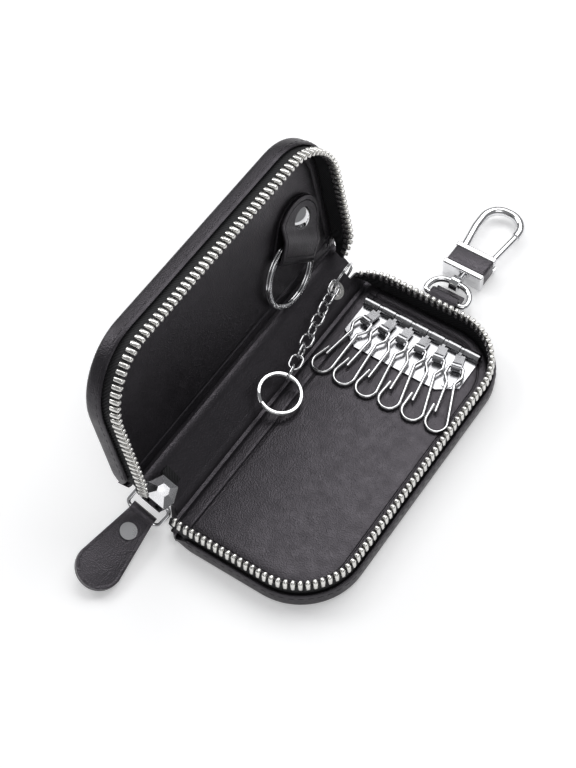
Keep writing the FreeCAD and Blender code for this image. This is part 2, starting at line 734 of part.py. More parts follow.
for rivet_x in rivets_x:
    hole_at = Vector(rivet_x, plate_rivet_y, fold_level - overrun)
    key_plate = key_plate.cut(Part.makeCylinder(plate_shank, plate_thick + 2 * overrun, hole_at))
solid_feature("key_plate", key_plate.removeSplitter())

# Rod that the hooks hang on, and the two rivets of the plate
rod = doc.addObject("Part::Cylinder", "key_rod")
rod.setExpression("Radius", "Sizes.rod_diameter / 2")
rod.setExpression("Height", "Sizes.case_width - Sizes.plate_fold_gap - Sizes.plate_free_gap")
rod.Placement = Placement(roll_start, Rotation(AXIS_Y, 90))
keep("key_rod", rod)

plate_rivets = []
for rivet_x in rivets_x:
    seat = Vector(rivet_x, plate_rivet_y, fold_level + plate_thick)
    head = Part.makeCylinder(size("plate_rivet_head") / 2, size("plate_rivet_lift"), seat)
    shank = Part.makeCylinder(plate_shank, plate_thick, seat - AXIS_Z * plate_thick)
    plate_rivets.append(head.fuse(shank).removeSplitter())
solid_feature("plate_rivets", Part.makeCompound(plate_rivets))

# Hook hanger: an eye on the rod, a flat shank and a cross tube for the wire
hanger_eye = size("hanger_eye") / 2
hanger_long = size("hanger_length")
eye_half = size("hanger_eye_width") / 2
hanger_half = size("hanger_width") / 2
hanger_half_thick = size("hanger_thick") / 2
hanger_end = size("hanger_end") / 2
running = size("rod_clear")
wire_radius = size("hook_wire") / 2


def hanger_shape(fan):
    rise = Rotation(AXIS_X, -size("hanger_rise_angle"))
    turn = Placement(Vector(0, 0, 0), rise.multiply(Rotation(AXIS_Z, fan)))
    neck_out = knuckle_radius + size("knuckle_slot") / 2
    narrow = box_between(Vector(-eye_half, -neck_out, -hanger_half_thick), Vector(eye_half, 0, hanger_half_thick))
    shank = box_between(
        Vector(-hanger_half, -hanger_long, -hanger_half_thick),
        Vector(hanger_half, -neck_out, hanger_half_thick),
    )
    tube = Part.makeCylinder(hanger_end, 2 * hanger_half, Vector(-hanger_half, -hanger_long, 0), AXIS_X)
    bore = Part.makeCylinder(
        wire_radius + running, 2 * hanger_half + 2 * overrun,
        Vector(-hanger_half - overrun, -hanger_long, 0), AXIS_X,
    )
    leaf = shank.fuse(tube).cut(bore)
    leaf.Placement = turn
    narrow.Placement = Placement(Vector(0, 0, 0), rise)
    eye = Part.makeCylinder(hanger_eye, 2 * eye_half, Vector(-eye_half, 0, 0), AXIS_X)
    hole = Part.makeCylinder(rod_radius + running, 2 * eye_half + 2 * overrun, Vector(-eye_half - overrun, 0, 0), AXIS_X)
    return eye.fuse(narrow).fuse(leaf).cut(hole).removeSplitter()


# Hook wire: bar through the hanger, bulb, neck, round loop, and a sprung free leg lapping inside
hook_tip = size("hook_length")
fan_step = math.radians(size("hook_step_angle"))
tip_pitch = slot_pitch + (hanger_long + hook_tip) * fan_step
hook_loop = (tip_pitch - size("hook_wire") - size("hook_side_gap")) / 2


def hook_shape():
    bar, bulb, neck = size("hook_bar_half"), size("hook_bulb_half"), size("hook_neck_half")
    bulb_run, neck_run, gate_run = size("hook_bulb_run"), size("hook_neck_run"), size("hook_gate_run")
    round_share = 0.99
    bend, round_bend = size("hook_corner"), hook_loop * round_share
    flare_long = hook_tip - hook_loop - neck_run
    flare = math.asin(hook_loop / math.hypot(neck, flare_long)) - math.atan2(neck, flare_long)
    corner = hook_loop / math.tan(math.pi / 4 - flare / 2)
    gate_x = neck + (gate_run - neck_run) * math.tan(flare)
    inside = gate_x - size("hook_wire") - size("hook_gate_gap")
    lap_run = gate_run + size("hook_gate_lap")
    bends = [
        (-gate_x, gate_run, 0), (-corner, hook_tip, round_bend), (corner, hook_tip, round_bend),
        (neck, neck_run, bend), (bulb, bulb_run, bend), (bar, 0, bend), (-bar, 0, bend),
        (-bulb, bulb_run, bend), (-neck, neck_run, bend), (-inside, lap_run, 0),
    ]
    corners = [Vector(across, -run, 0) for across, run, _ in bends]
    return round_bar(tangent_path(corners, [radius for _, _, radius in bends]), size("hook_wire"))


hook_wire = hook_shape()
for index, slot_x in enumerate(slots_x):
    fan = size("hook_first_angle") + size("hook_step_angle") * index
    rod_spot = Vector(slot_x, knuckle_y, knuckle_z)
    solid_feature(f"hook_hanger_{index + 1}", hanger_shape(fan), Placement(rod_spot, NO_TURN))
    turn = Rotation(AXIS_X, -size("hanger_rise_angle")).multiply(Rotation(AXIS_Z, fan))
    wire_spot = rod_spot + turn.multVec(Vector(0, -hanger_long, 0))
    wire_turn = turn.multiply(Rotation(AXIS_X, size("hanger_rise_angle") + size("hook_dip_angle")))
    solid_feature(f"hook_wire_{index + 1}", hook_wire.copy(), Placement(wire_spot, wire_turn))

# Ring strap on the lid: leather folded round the split ring and riveted through both layers
strap_place = lid_place.multiply(
    at(size("strap_u"), size("strap_end_gap") - case_end, fold_level, Rotation(AXIS_Z, -size("strap_angle")))
)
leather, room = size("strap_leather"), size("strap_ring_room")
strap_high = 2 * leather + room
pinch_start, pinch_end = size("strap_pinch_start"), size("strap_pinch_end")
strap_tip = size("strap_straight") + size("strap_end_radius")
low_top = 2 * leather + size("strap_pinch_gap")
fold_radius = strap_high / 2
side_edges = [
    Part.LineSegment(Vector(0, 0, 0), Vector(strap_tip, 0, 0)).toShape(),
    Part.LineSegment(Vector(strap_tip, 0, 0), Vector(strap_tip, 0, low_top)).toShape(),
    Part.LineSegment(Vector(strap_tip, 0, low_top), Vector(pinch_end, 0, low_top)).toShape(),
    Part.LineSegment(Vector(pinch_end, 0, low_top), Vector(pinch_start, 0, strap_high)).toShape(),
    Part.LineSegment(Vector(pinch_start, 0, strap_high), Vector(0, 0, strap_high)).toShape(),
    Part.Arc(Vector(0, 0, strap_high), Vector(-fold_radius, 0, fold_radius), Vector(0, 0, 0)).toShape(),
]
room_radius = room / 2
room_edges = [
    Part.LineSegment(Vector(0, 0, leather), Vector(pinch_end, 0, leather)).toShape(),
    Part.LineSegment(Vector(pinch_end, 0, leather), Vector(pinch_start, 0, leather + room)).toShape(),
    Part.LineSegment(Vector(pinch_start, 0, leather + room), Vector(0, 0, leather + room)).toShape(),
    Part.Arc(
        Vector(0, 0, leather + room), Vector(-room_radius, 0, leather + room_radius), Vector(0, 0, leather)
    ).toShape(),
]
strap_half, end_radius = size("strap_half_width"), size("strap_end_radius")
across = Vector(0, 2 * end_radius, 0)
strap_side = Part.Face(Part.Wire(side_edges)).extrude(across)
strap_room = Part.Face(Part.Wire(room_edges)).extrude(across)
for block in (strap_side, strap_room):
    block.translate(Vector(0, -end_radius, 0))
straight = size("strap_straight")
plan_edges = [
    Part.LineSegment(Vector(-fold_radius, -strap_half, 0), Vector(0, -strap_half, 0)).toShape(),
    Part.LineSegment(Vector(0, -strap_half, 0), Vector(straight, -end_radius, 0)).toShape(),
    Part.Arc(
        Vector(straight, -end_radius, 0), Vector(strap_tip, 0, 0), Vector(straight, end_radius, 0)
    ).toShape(),
    Part.LineSegment(Vector(straight, end_radius, 0), Vector(0, strap_half, 0)).toShape(),
    Part.LineSegment(Vector(0, strap_half, 0), Vector(-fold_radius, strap_half, 0)).toShape(),
    Part.LineSegment(Vector(-fold_radius, strap_half, 0), Vector(-fold_radius, -strap_half, 0)).toShape(),
]
strap_plan = Part.Face(Part.Wire(plan_edges)).extrude(Vector(0, 0, strap_high))
rivet_x = size("strap_rivet_x")
strap_shank = size("strap_rivet_shank") / 2
strap_hole = Part.makeCylinder(strap_shank, strap_high, Vector(rivet_x, 0, 0))
strap = strap_side.cut(strap_room).common(strap_plan).cut(strap_hole).removeSplitter()
solid_feature("ring_strap", strap, strap_place)

# Domed rivet of the strap
dome_radius, dome_high = size("strap_rivet_head") / 2, size("strap_rivet_dome")
ball_radius = (dome_radius ** 2 + dome_high ** 2) / (2 * dome_high)
dome_seat = Vector(rivet_x, 0, low_top)
ball = Part.makeSphere(ball_radius, dome_seat + AXIS_Z * (dome_high - ball_radius))
cap_block = Part.makeCylinder(dome_radius + overrun, dome_high + overrun, dome_seat)
strap_rivet = ball.common(cap_block)
strap_rivet = strap_rivet.fuse(Part.makeCylinder(strap_shank, low_top, Vector(rivet_x, 0, 0))).removeSplitter()
solid_feature("strap_rivet", strap_rivet, strap_place)

# Split ring held in the strap
strap_ring_radius = size("strap_ring_outer") / 2
ring_thick = size("strap_ring_thick")
ring_seat = Vector(-size("strap_ring_back"), 0, -ring_thick / 2)
strap_ring = Part.makeCylinder(strap_ring_radius, ring_thick, ring_seat)
strap_ring = strap_ring.cut(
    Part.makeCylinder(
        strap_ring_radius - size("strap_ring_band"), ring_thick + 2 * overrun, ring_seat - AXIS_Z * overrun
    )
)
ring_tilt = Rotation(AXIS_Y, size("strap_ring_angle"))
ring_place = strap_place.multiply(at(0, 0, leather + size("strap_ring_rise"), ring_tilt))
solid_feature("strap_ring", strap_ring, ring_place)

# Leather loop sewn into the end wall, holding the D-ring
clasp_x, clasp_z = size("clasp_x"), size("clasp_z")
loop_eye_y = case_end + size("loop_eye_out")
dring_radius = size("dring_wire") / 2
loop_eye = dring_radius + size("loop_eye_clear")
loop_outer = loop_eye + size("loop_leather")
loop_half_wide = size("loop_width") / 2
loop_start = Vector(clasp_x - loop_half_wide, loop_eye_y, clasp_z)
loop_roll = Part.makeCylinder(loop_outer, size("loop_width"), loop_start, AXIS_X)
loop_strip = box_between(
    Vector(clasp_x - loop_half_wide, case_end, clasp_z - size("loop_leather")),
    Vector(clasp_x + loop_half_wide, loop_eye_y, clasp_z + size("loop_leather")),
)
loop_hole = Part.makeCylinder(loop_eye, size("loop_width") + 2 * overrun, loop_start - AXIS_X * overrun, AXIS_X)
solid_feature("clasp_loop", loop_roll.fuse(loop_strip).cut(loop_hole).removeSplitter())

# D-ring: straight bar in the leather loop, bowed side towards the clasp
dring_half, dring_long = size("dring_width") / 2, size("dring_length")
dring_corners = [
    Vector(0, 0, 0), Vector(dring_half, 0, 0), Vector(dring_half, dring_long, 0),
    Vector(-dring_half, dring_long, 0), Vector(-dring_half, 0, 0), Vector(0, 0, 0),
]
dring_bend, dring_bow = size("dring_corner"), size("dring_bow")
dring_path = tangent_path(dring_corners, [0, dring_bend, dring_bow, dring_bow, dring_bend, 0])
dring_place = at(clasp_x, loop_eye_y, clasp_z)
solid_feature("d_ring", round_bar(dring_path, size("dring_wire")), dring_place)

# Swivel: an eye on the D-ring's bow, a stem and a head turning inside the clasp's rim
swivel_y = loop_eye_y + dring_long
swivel_hole = dring_radius + size("swivel_eye_clear")
swivel_outer = swivel_hole + size("swivel_eye_wall")
swivel_half = size("swivel_eye_width") / 2
eye = Part.makeCylinder(swivel_outer, 2 * swivel_half, Vector(-swivel_half, 0, 0), AXIS_X)
hole = Part.makeCylinder(swivel_hole, 2 * swivel_half + 2 * overrun, Vector(-swivel_half - overrun, 0, 0), AXIS_X)
frame_y = swivel_y + size("frame_out")
frame_rim = size("frame_rim")
head_y = frame_y + frame_rim + size("swivel_clear") - swivel_y
stem_start = (swivel_hole + swivel_outer) / 2
stem = Part.makeCylinder(size("swivel_stem") / 2, head_y - stem_start, Vector(0, stem_start, 0), AXIS_Y)
stem_head = Part.makeCylinder(size("swivel_head") / 2, size("swivel_head_thick"), Vector(0, head_y, 0), AXIS_Y)
swivel = eye.cut(hole).fuse([stem, stem_head]).cut(hole).removeSplitter()
solid_feature("swivel", swivel, at(clasp_x, swivel_y, clasp_z))

# Clasp body: two rims on a narrower core, hollow for the swivel's head, with the open bow on top
frame_place = at(clasp_x, frame_y, size("frame_thick") / 2)
frame_half, frame_long = size("frame_width") / 2, size("frame_length")
frame_half_thick = size("frame_thick") / 2
swivel_lift = clasp_z - size("frame_thick") / 2
core_half, core_half_thick = frame_half - size("frame_core_inset"), frame_half_thick - size("frame_core_inset")


def block(half_x, low_y, high_y, half_z):
    return box_between(Vector(-half_x, low_y, -half_z), Vector(half_x, high_y, half_z))


near_rim = block(frame_half, 0, frame_rim, frame_half_thick)
near_rim = near_rim.makeFillet(size("frame_rim_round"), near_rim.Edges)
far_rim = block(frame_half, frame_long - frame_rim, frame_long, frame_half_thick)
far_rim = far_rim.makeFillet(size("frame_rim_round"), far_rim.Edges)
core = block(core_half, 0, frame_long, core_half_thick)
stem_hole = Part.makeCylinder(
    size("swivel_stem") / 2 + size("swivel_clear"), frame_rim + 2 * overrun,
    Vector(0, -overrun, swivel_lift), AXIS_Y,
)
head_room = Part.makeCylinder(
    size("swivel_head") / 2 + size("swivel_clear") * 2, size("frame_pocket") - frame_rim,
    Vector(0, frame_rim, swivel_lift), AXIS_Y,
)
bow_root, bow_half, bow_rise = size("bow_root_half"), size("bow_half"), size("bow_rise")
gate_meet = size("gate_meet")
bow_corners = [
    Vector(-bow_root, frame_long - frame_rim / 2, 0), Vector(-bow_half, frame_long + bow_rise / 2, 0),
    Vector(-bow_half, frame_long + bow_rise, 0), Vector(bow_half, frame_long + bow_rise, 0),
    Vector(bow_half, frame_long + gate_meet + size("gate_gap"), 0),
]
bow_bend = size("bow_corner")
bow = round_bar(tangent_path(bow_corners, [0, bow_bend, bow_bend, bow_bend, 0]), size("hook_bar"))
gate_slot = size("gate_slot") / 2
gate_eye = size("gate_eye") / 2
slot_room = box_between(
    Vector(bow_root - gate_eye - size("gate_gap") - size("gate_spring_thick"), frame_long - frame_rim, -gate_slot),
    Vector(frame_half + overrun, frame_long + overrun, gate_slot),
)
gate_pin_y = frame_long - frame_rim / 2
pin_radius = size("gate_pin") / 2
pin_hole = Part.makeCylinder(pin_radius, size("frame_thick") + 2 * overrun, Vector(bow_root, gate_pin_y, -frame_half_thick - overrun))
clasp_body = near_rim.fuse([far_rim, core]).cut(stem_hole).cut(head_room).cut(slot_room).cut(pin_hole).fuse(bow)
solid_feature("clasp_body", clasp_body.removeSplitter(), frame_place)

# Leather band wrapped round the clasp's core between its rims
band_half, band_half_thick = core_half + size("band_leather"), core_half_thick + size("band_leather")
band_low, band_high = frame_rim, frame_long - frame_rim
band = block(band_half, band_low, band_high, band_half_thick).cut(
    block(core_half, band_low - overrun, band_high + overrun, core_half_thick)
)
solid_feature("clasp_band", band, frame_place)

# Sprung gate: eye on its pin in the rim's slot, straight bar up to the bow's nose
gate_bar = size("gate_bar")
gate_foot = Part.makeCylinder(gate_eye, 2 * gate_slot - 2 * running, Vector(bow_root, gate_pin_y, -gate_slot + running))
gate_corners = [Vector(bow_root, gate_pin_y, 0), Vector(bow_half, frame_long + gate_meet, 0)]
gate_rod = round_bar(tangent_path(gate_corners, [0, 0]), gate_bar)
gate_hole = Part.makeCylinder(
    pin_radius + running, size("frame_thick") + 2 * overrun, Vector(bow_root, gate_pin_y, -frame_half_thick - overrun)
)
gate = gate_foot.fuse(gate_rod).cut(gate_hole).removeSplitter()
solid_feature("clasp_gate", gate, frame_place)

gate_pin = doc.addObject("Part::Cylinder", "gate_pin")
gate_pin.setExpression("Radius", "Sizes.gate_pin / 2")
gate_pin.setExpression("Height", "Sizes.frame_thick")
gate_pin.Placement = frame_place.multiply(at(bow_root, gate_pin_y, -frame_half_thick))
keep("gate_pin", gate_pin)

# Leaf spring that presses the gate shut
leaf_x = bow_root - gate_eye - size("gate_gap") - size("gate_spring_thick")
spring = box_between(
    Vector(leaf_x, frame_long - frame_rim, -gate_slot + running),
    Vector(leaf_x + size("gate_spring_thick"), frame_long, gate_slot - running),
)
solid_feature("gate_spring", spring, frame_place)

doc.recompute()
broken = [obj.Name for obj in doc.Objects if "Invalid" in obj.State or "Error" in obj.State]
if broken:
    raise RuntimeError("failed objects: " + ", ".join(broken))
bad = [piece.Label for piece in pieces if piece.Shape.isNull() or not piece.Shape.isValid()]
if bad:
    raise RuntimeError("bad shapes: " + ", ".join(bad))

os.makedirs("parts", exist_ok=True)
for piece in pieces:
    piece.Shape.exportStep(os.path.join("parts", piece.Label + ".step"))
print(len(pieces), "pieces,", sum(len(piece.Shape.Solids) for piece in pieces), "solids")
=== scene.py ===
import bmesh
import bpy
import math
from mathutils import Matrix, Vector
from mathutils.geometry import interpolate_bezier


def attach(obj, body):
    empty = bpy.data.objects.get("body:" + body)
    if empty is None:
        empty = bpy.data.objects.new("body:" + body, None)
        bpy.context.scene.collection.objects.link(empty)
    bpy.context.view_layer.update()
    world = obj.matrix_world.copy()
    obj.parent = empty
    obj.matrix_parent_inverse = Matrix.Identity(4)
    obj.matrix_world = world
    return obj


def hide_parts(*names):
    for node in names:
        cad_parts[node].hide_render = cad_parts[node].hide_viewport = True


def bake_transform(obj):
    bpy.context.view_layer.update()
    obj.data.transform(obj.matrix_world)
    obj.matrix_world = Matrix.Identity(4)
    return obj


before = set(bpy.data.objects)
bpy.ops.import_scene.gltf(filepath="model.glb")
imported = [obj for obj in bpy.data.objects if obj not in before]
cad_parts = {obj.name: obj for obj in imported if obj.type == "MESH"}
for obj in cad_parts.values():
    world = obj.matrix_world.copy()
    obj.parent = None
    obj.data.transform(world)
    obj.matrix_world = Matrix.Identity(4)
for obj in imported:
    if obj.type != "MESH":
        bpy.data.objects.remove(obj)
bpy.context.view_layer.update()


# Outer covers: each half of the case is a tray of smooth black cowhide, pressed over a board while damp.
# A low wall stands along its three free sides, and the skin is thinned down to the fold and glued there.
MM = 0.001
CASE_WIDTH, CASE_LENGTH, CORNER = 58.0, 119.0, 22.0
CASE_END = CASE_LENGTH / 2
SIDE, REACH = CASE_WIDTH - CORNER, CASE_END - CORNER
FOLD_LEVEL, SPINE_WIDTH, SPINE_LEAN = 3.4, 17.6, 40
HALF_START, RUN_STEP, CORNER_STEPS = 3.0, 1.5, 22
COVER_EDGE = [
    (3.4, 0.0), (1.6, 0.0), (0.8, 0.1), (0.3, 0.45), (0.06, 1.1), (0.0, 2.0), (0.0, 5.0),
    (0.08, 5.6), (0.3, 5.95), (0.65, 6.05), (1.0, 5.9), (1.2, 5.5), (1.22, 1.6), (3.4, 1.4),
]
THIN_FROM, THIN_RUN, THIN_SKIN, WALL_RISE = 1.5, 8.0, 1.4, 4.65
DRAW_FROM, DRAW_RUN, DRAW_IN = 1.0, 9.0, 1.1
HIDE_DARK, HIDE_LIGHT = (0.0045, 0.0043, 0.005), (0.0105, 0.0098, 0.0112)
HIDE_GLOSS = (0.97, 0.9, 1.0)
DYE_CLOUD, POLISH_CLOUD, PEBBLE, WRINKLE, GRAIN_DEPTH = 60.0, 260.0, 2100.0, 700.0, 0.0002
CLOUD_LOW, CLOUD_HIGH = 0.3, 0.7
NEAR, WELD = 0.01, 0.0005


def turn(degrees, axis):
    return Matrix.Rotation(math.radians(degrees), 4, axis)


def move(x, y, z):
    return Matrix.Translation((x, y, z))


LOWER = move(-CASE_WIDTH / 2, 0, 0)
SPINE = move(-CASE_WIDTH / 2, 0, FOLD_LEVEL) @ turn(SPINE_LEAN, "Y")
LID = SPINE @ move(-SPINE_WIDTH, 0, 0) @ turn(SPINE_LEAN, "Y") @ turn(180, "Z") @ move(0, 0, -FOLD_LEVEL)
HALVES = (("lower", LOWER, "lower_case"), ("lid", LID, "lid"))


def start_finish(name, colour, roughness, metallic=0.0):
    finish = bpy.data.materials.new(name)
    finish.use_nodes = True
    shader = finish.node_tree.nodes["Principled BSDF"]
    shader.inputs["Base Color"].default_value = (*colour, 1.0)
    shader.inputs["Roughness"].default_value = roughness
    shader.inputs["Metallic"].default_value = metallic
    return finish, finish.node_tree, shader


def cloud(tree, scale, detail):
    """Soft noise in the object's own coordinates."""
    node = tree.nodes.new("ShaderNodeTexNoise")
    node.inputs["Scale"].default_value = scale
    node.inputs["Detail"].default_value = detail
    tree.links.new(tree.nodes.new("ShaderNodeTexCoord").outputs["Object"], node.inputs["Vector"])
    return node.outputs[0]


def spread(tree, value, low, high):
    """Stretch the middle of a noise over a wanted range."""
    node = tree.nodes.new("ShaderNodeMapRange")
    node.inputs["From Min"].default_value = CLOUD_LOW
    node.inputs["From Max"].default_value = CLOUD_HIGH
    node.inputs["To Min"].default_value = low
    node.inputs["To Max"].default_value = high
    tree.links.new(value, node.inputs["Value"])
    return node.outputs["Result"]


def two_tone(tree, value, first, second):
    node = tree.nodes.new("ShaderNodeMix")
    node.data_type = "RGBA"
    tones = [socket for socket in node.inputs if socket.type == "RGBA"]
    tones[0].default_value = (*first, 1.0)
    tones[1].default_value = (*second, 1.0)
    tree.links.new(value, node.inputs["Factor"])
    return [socket for socket in node.outputs if socket.type == "RGBA"][0]


def emboss(tree, height, strength, depth, below=None):
    node = tree.nodes.new("ShaderNodeBump")
    node.inputs["Strength"].default_value = strength
    node.inputs["Distance"].default_value = depth
    tree.links.new(height, node.inputs["Height"])
    if below is not None:
        tree.links.new(below, node.inputs["Normal"])
    return node.outputs["Normal"]


def leather(name, dark, light, rough_low, rough_high, grain, gloss=0.75):
    """Dyed hide: a cloudy dye, a fine pebbled grain and uneven polish."""
    finish, tree, shader = start_finish(name, dark, rough_low)
    shader.inputs["Specular IOR Level"].default_value = gloss
    shader.inputs["Specular Tint"].default_value = (*HIDE_GLOSS, 1.0)
    dye = spread(tree, cloud(tree, DYE_CLOUD, 4.0), 0.0, 1.0)
    tree.links.new(two_tone(tree, dye, dark, light), shader.inputs["Base Color"])
    polish = spread(tree, cloud(tree, POLISH_CLOUD, 3.0), rough_low, rough_high)
    tree.links.new(polish, shader.inputs["Roughness"])
    pebble = tree.nodes.new("ShaderNodeTexVoronoi")
    pebble.inputs["Scale"].default_value = PEBBLE
    tree.links.new(tree.nodes.new("ShaderNodeTexCoord").outputs["Object"], pebble.inputs["Vector"])
    fine = emboss(tree, pebble.outputs["Distance"], grain, GRAIN_DEPTH)
    coarse = emboss(tree, cloud(tree, WRINKLE, 5.0), grain / 2, GRAIN_DEPTH, fine)
    tree.links.new(coarse, shader.inputs["Normal"])
    return finish


def ease(share):
    share = min(1.0, max(0.0, share))
    return share * share * (3 - 2 * share)


def spots_of(parts):
    return [part for part in parts if isinstance(part, bmesh.types.BMVert)]


def edges_of(parts):
    return [part for part in parts if isinstance(part, bmesh.types.BMEdge)]


def run_on(shell, front, way):
    """Carry a row of edges straight on, in short steps."""
    steps = max(1, round(way.length / RUN_STEP))
    for _ in range(steps):
        grown = bmesh.ops.extrude_edge_only(shell, edges=front)["geom"]
        bmesh.ops.translate(shell, verts=spots_of(grown), vec=way / steps)
        front = edges_of(grown)
    return front


def turn_on(shell, front, centre):
    """Carry a row of edges round a quarter turn."""
    ends = list({end for edge in front for end in edge.verts})
    grown = bmesh.ops.spin(
        shell, geom=front + ends, cent=centre, axis=(0, 0, 1), angle=math.pi / 2,
        steps=CORNER_STEPS, use_duplicate=False,
    )
    return edges_of(grown["geom_last"])


def sweep_half(edge_shape, start, closed=False):
    """Carry an edge shape round the three free sides of a half, from the fold and back to it."""
    shell = bmesh.new()
    spots = [shell.verts.new((start, inset - CASE_END, level)) for inset, level in edge_shape]
    front = [shell.edges.new(pair) for pair in zip(spots, spots[1:])]
    if closed:
        front.append(shell.edges.new((spots[-1], spots[0])))
    front = run_on(shell, front, Vector((SIDE - start, 0, 0)))
    front = turn_on(shell, front, (SIDE, -REACH, 0))
    front = run_on(shell, front, Vector((0, 2 * REACH, 0)))
    front = turn_on(shell, front, (SIDE, REACH, 0))
    run_on(shell, front, Vector((start - SIDE, 0, 0)))
    return shell


def close_half(shell, edge_shape, start):
    """Close the flat middle of a half above and below, and its straight side at the fold."""
    rims = [edge for edge in shell.edges if edge.is_boundary]
    at_fold = [edge for edge in rims if all(abs(end.co.x - start) < NEAR for end in edge.verts)]
    round_sides = [edge for edge in rims if edge not in at_fold]
    bars = []
    for level in (edge_shape[0][1], edge_shape[-1][1]):
        path = [edge for edge in round_sides if all(abs(end.co.z - level) < NEAR for end in edge.verts)]
        tips = [end for edge in path for end in edge.verts if abs(end.co.x - start) < NEAR]
        bars.append(shell.edges.new(tips))
        bmesh.ops.contextual_create(shell, geom=path + bars[-1:])
    bmesh.ops.contextual_create(shell, geom=at_fold + bars)


def as_mesh(name, shell):
    mesh = bpy.data.meshes.new(name)
    shell.to_mesh(mesh)
    shell.free()
    return mesh


def make_piece(name, shell, finish, place=Matrix(), sharp=40.0):
    """Turn a shell drawn in millimetres into a piece in its place."""
    bmesh.ops.remove_doubles(shell, verts=shell.verts, dist=WELD)
    bmesh.ops.recalc_face_normals(shell, faces=shell.faces)
    bmesh.ops.transform(shell, matrix=Matrix.Scale(MM, 4) @ place, verts=shell.verts)
    mesh = as_mesh(name, shell)
    mesh.polygons.foreach_set("use_smooth", [True] * len(mesh.polygons))
    mesh.set_sharp_from_angle(angle=math.radians(sharp))
    mesh.materials.append(finish)
    piece = bpy.data.objects.new(name, mesh)
    bpy.context.scene.collection.objects.link(piece)
    return piece


black_leather = leather(
    "black_leather", HIDE_DARK, HIDE_LIGHT, rough_low=0.32, rough_high=0.46, grain=0.35, gloss=0.6,
)
for half, place, body in HALVES:
    shell = sweep_half(COVER_EDGE, HALF_START)
    close_half(shell, COVER_EDGE, HALF_START)
    for spot in shell.verts:
        spot.co.z = min(spot.co.z, THIN_SKIN + WALL_RISE * ease((spot.co.x - THIN_FROM) / THIN_RUN))
        spot.co.y *= 1 - DRAW_IN / CASE_END * (1 - ease((spot.co.x - DRAW_FROM) / DRAW_RUN))
    cover = make_piece(half + "_leather", shell, black_leather, place)
    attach(cover, body)
    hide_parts(half + "_cover")


# Stiffening boards: black-dyed fibre board cut to the shape of each half, glued between cover and lining.
# Only their cut edges could ever be seen, so they keep their plain form and get a fibrous finish.
BOARD_DARK, BOARD_LIGHT = (0.014, 0.013, 0.013), (0.03, 0.028, 0.027)


def finish_nodes(finish, *names):
    for name in names:
        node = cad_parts[name]
        node.data.materials.clear()
        node.data.materials.append(finish)


fibre_board = leather(
    "fibre_board", BOARD_DARK, BOARD_LIGHT, rough_low=0.7, rough_high=0.9, grain=0.1, gloss=0.3,
)
finish_nodes(fibre_board, "lower_board", "lid_board")


# Lining panels: softer black leather over the inside of each half, tucked down behind the zipper's tape.
# A blunt tool pressed a line round the panel a little inside its edge, and another along the fold.
PANEL_EDGE = [
    (5.0, 2.3), (2.5, 2.3), (2.5, 2.9), (2.62, 3.2), (2.95, 3.4), (3.4, 3.46), (5.3, 3.46), (5.55, 3.36),
    (5.75, 3.16), (5.95, 3.16), (6.15, 3.36), (6.4, 3.46), (9.0, 3.48),
]
FOLD_LINE, LINE_HALF, LINE_DEPTH, UPPER_FACE = 5.2, 0.4, 0.28, 3.0

lining_leather = leather("lining_leather", HIDE_DARK, HIDE_LIGHT, rough_low=0.34, rough_high=0.48, grain=0.4)
for half, place, body in HALVES:
    shell = sweep_half(PANEL_EDGE, HALF_START)
    close_half(shell, PANEL_EDGE, HALF_START)
    for across in (FOLD_LINE - LINE_HALF, FOLD_LINE, FOLD_LINE + LINE_HALF):
        whole = shell.verts[:] + shell.edges[:] + shell.faces[:]
        bmesh.ops.bisect_plane(shell, geom=whole, plane_co=(across, 0, 0), plane_no=(1, 0, 0))
    for spot in shell.verts:
        if abs(spot.co.x - FOLD_LINE) < NEAR and spot.co.z > UPPER_FACE:
            spot.co.z -= LINE_DEPTH
    panel = make_piece(half + "_panel", shell, lining_leather, place)
    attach(panel, body)
    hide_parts(half + "_lining")


# Zipper tapes: black herringbone tape stands up inside each wall and is sewn to it all the way round.
# Its upper edge is thickened with a cord, which the metal teeth clamp.
TAPE_START, TAPE_MIDDLE, TAPE_TOP = 8.0, 1.85, 10.2
TAPE_EDGE = [
    (2.25, 1.5), (1.45, 1.5), (1.45, 9.4), (1.38, 9.75), (1.5, 10.15), (1.85, 10.3), (2.2, 10.15),
    (2.32, 9.75), (2.25, 9.4),
]
TAPE_DARK, TAPE_LIGHT = (0.004, 0.004, 0.005), (0.018, 0.018, 0.02)
TAPE_ROUGH, RIB_SCALE, RIB_WANDER, RIB_PRESS = 0.75, 0.5, 0.6, 0.6


def twill(name, dark, light):
    """Woven tape: slanting ribs that follow the tape's own length."""
    finish, tree, shader = start_finish(name, dark, TAPE_ROUGH)
    along = tree.nodes.new("ShaderNodeUVMap")
    along.uv_map = "weave"
    ribs = tree.nodes.new("ShaderNodeTexWave")
    ribs.wave_type = "BANDS"
    ribs.bands_direction = "DIAGONAL"
    ribs.inputs["Scale"].default_value = RIB_SCALE
    ribs.inputs["Distortion"].default_value = RIB_WANDER
    ribs.inputs["Detail"].default_value = 1.0
    tree.links.new(along.outputs["UV"], ribs.inputs["Vector"])
    tree.links.new(two_tone(tree, ribs.outputs["Fac"], dark, light), shader.inputs["Base Color"])
    tree.links.new(emboss(tree, ribs.outputs["Fac"], RIB_PRESS, GRAIN_DEPTH), shader.inputs["Normal"])
    return finish


def run_at(spot):
    """How far along a half's edge a spot lies."""
    bend = CORNER * math.pi / 2
    if spot.x <= SIDE:
        return spot.x if spot.y < 0 else 2 * (SIDE + bend + REACH) - spot.x
    if spot.y < -REACH:
        return SIDE + CORNER * math.atan2(spot.x - SIDE, -REACH - spot.y)
    if spot.y < REACH:
        return SIDE + bend + spot.y + REACH
    return SIDE + bend + 2 * REACH + CORNER * math.atan2(spot.y - REACH, spot.x - SIDE)


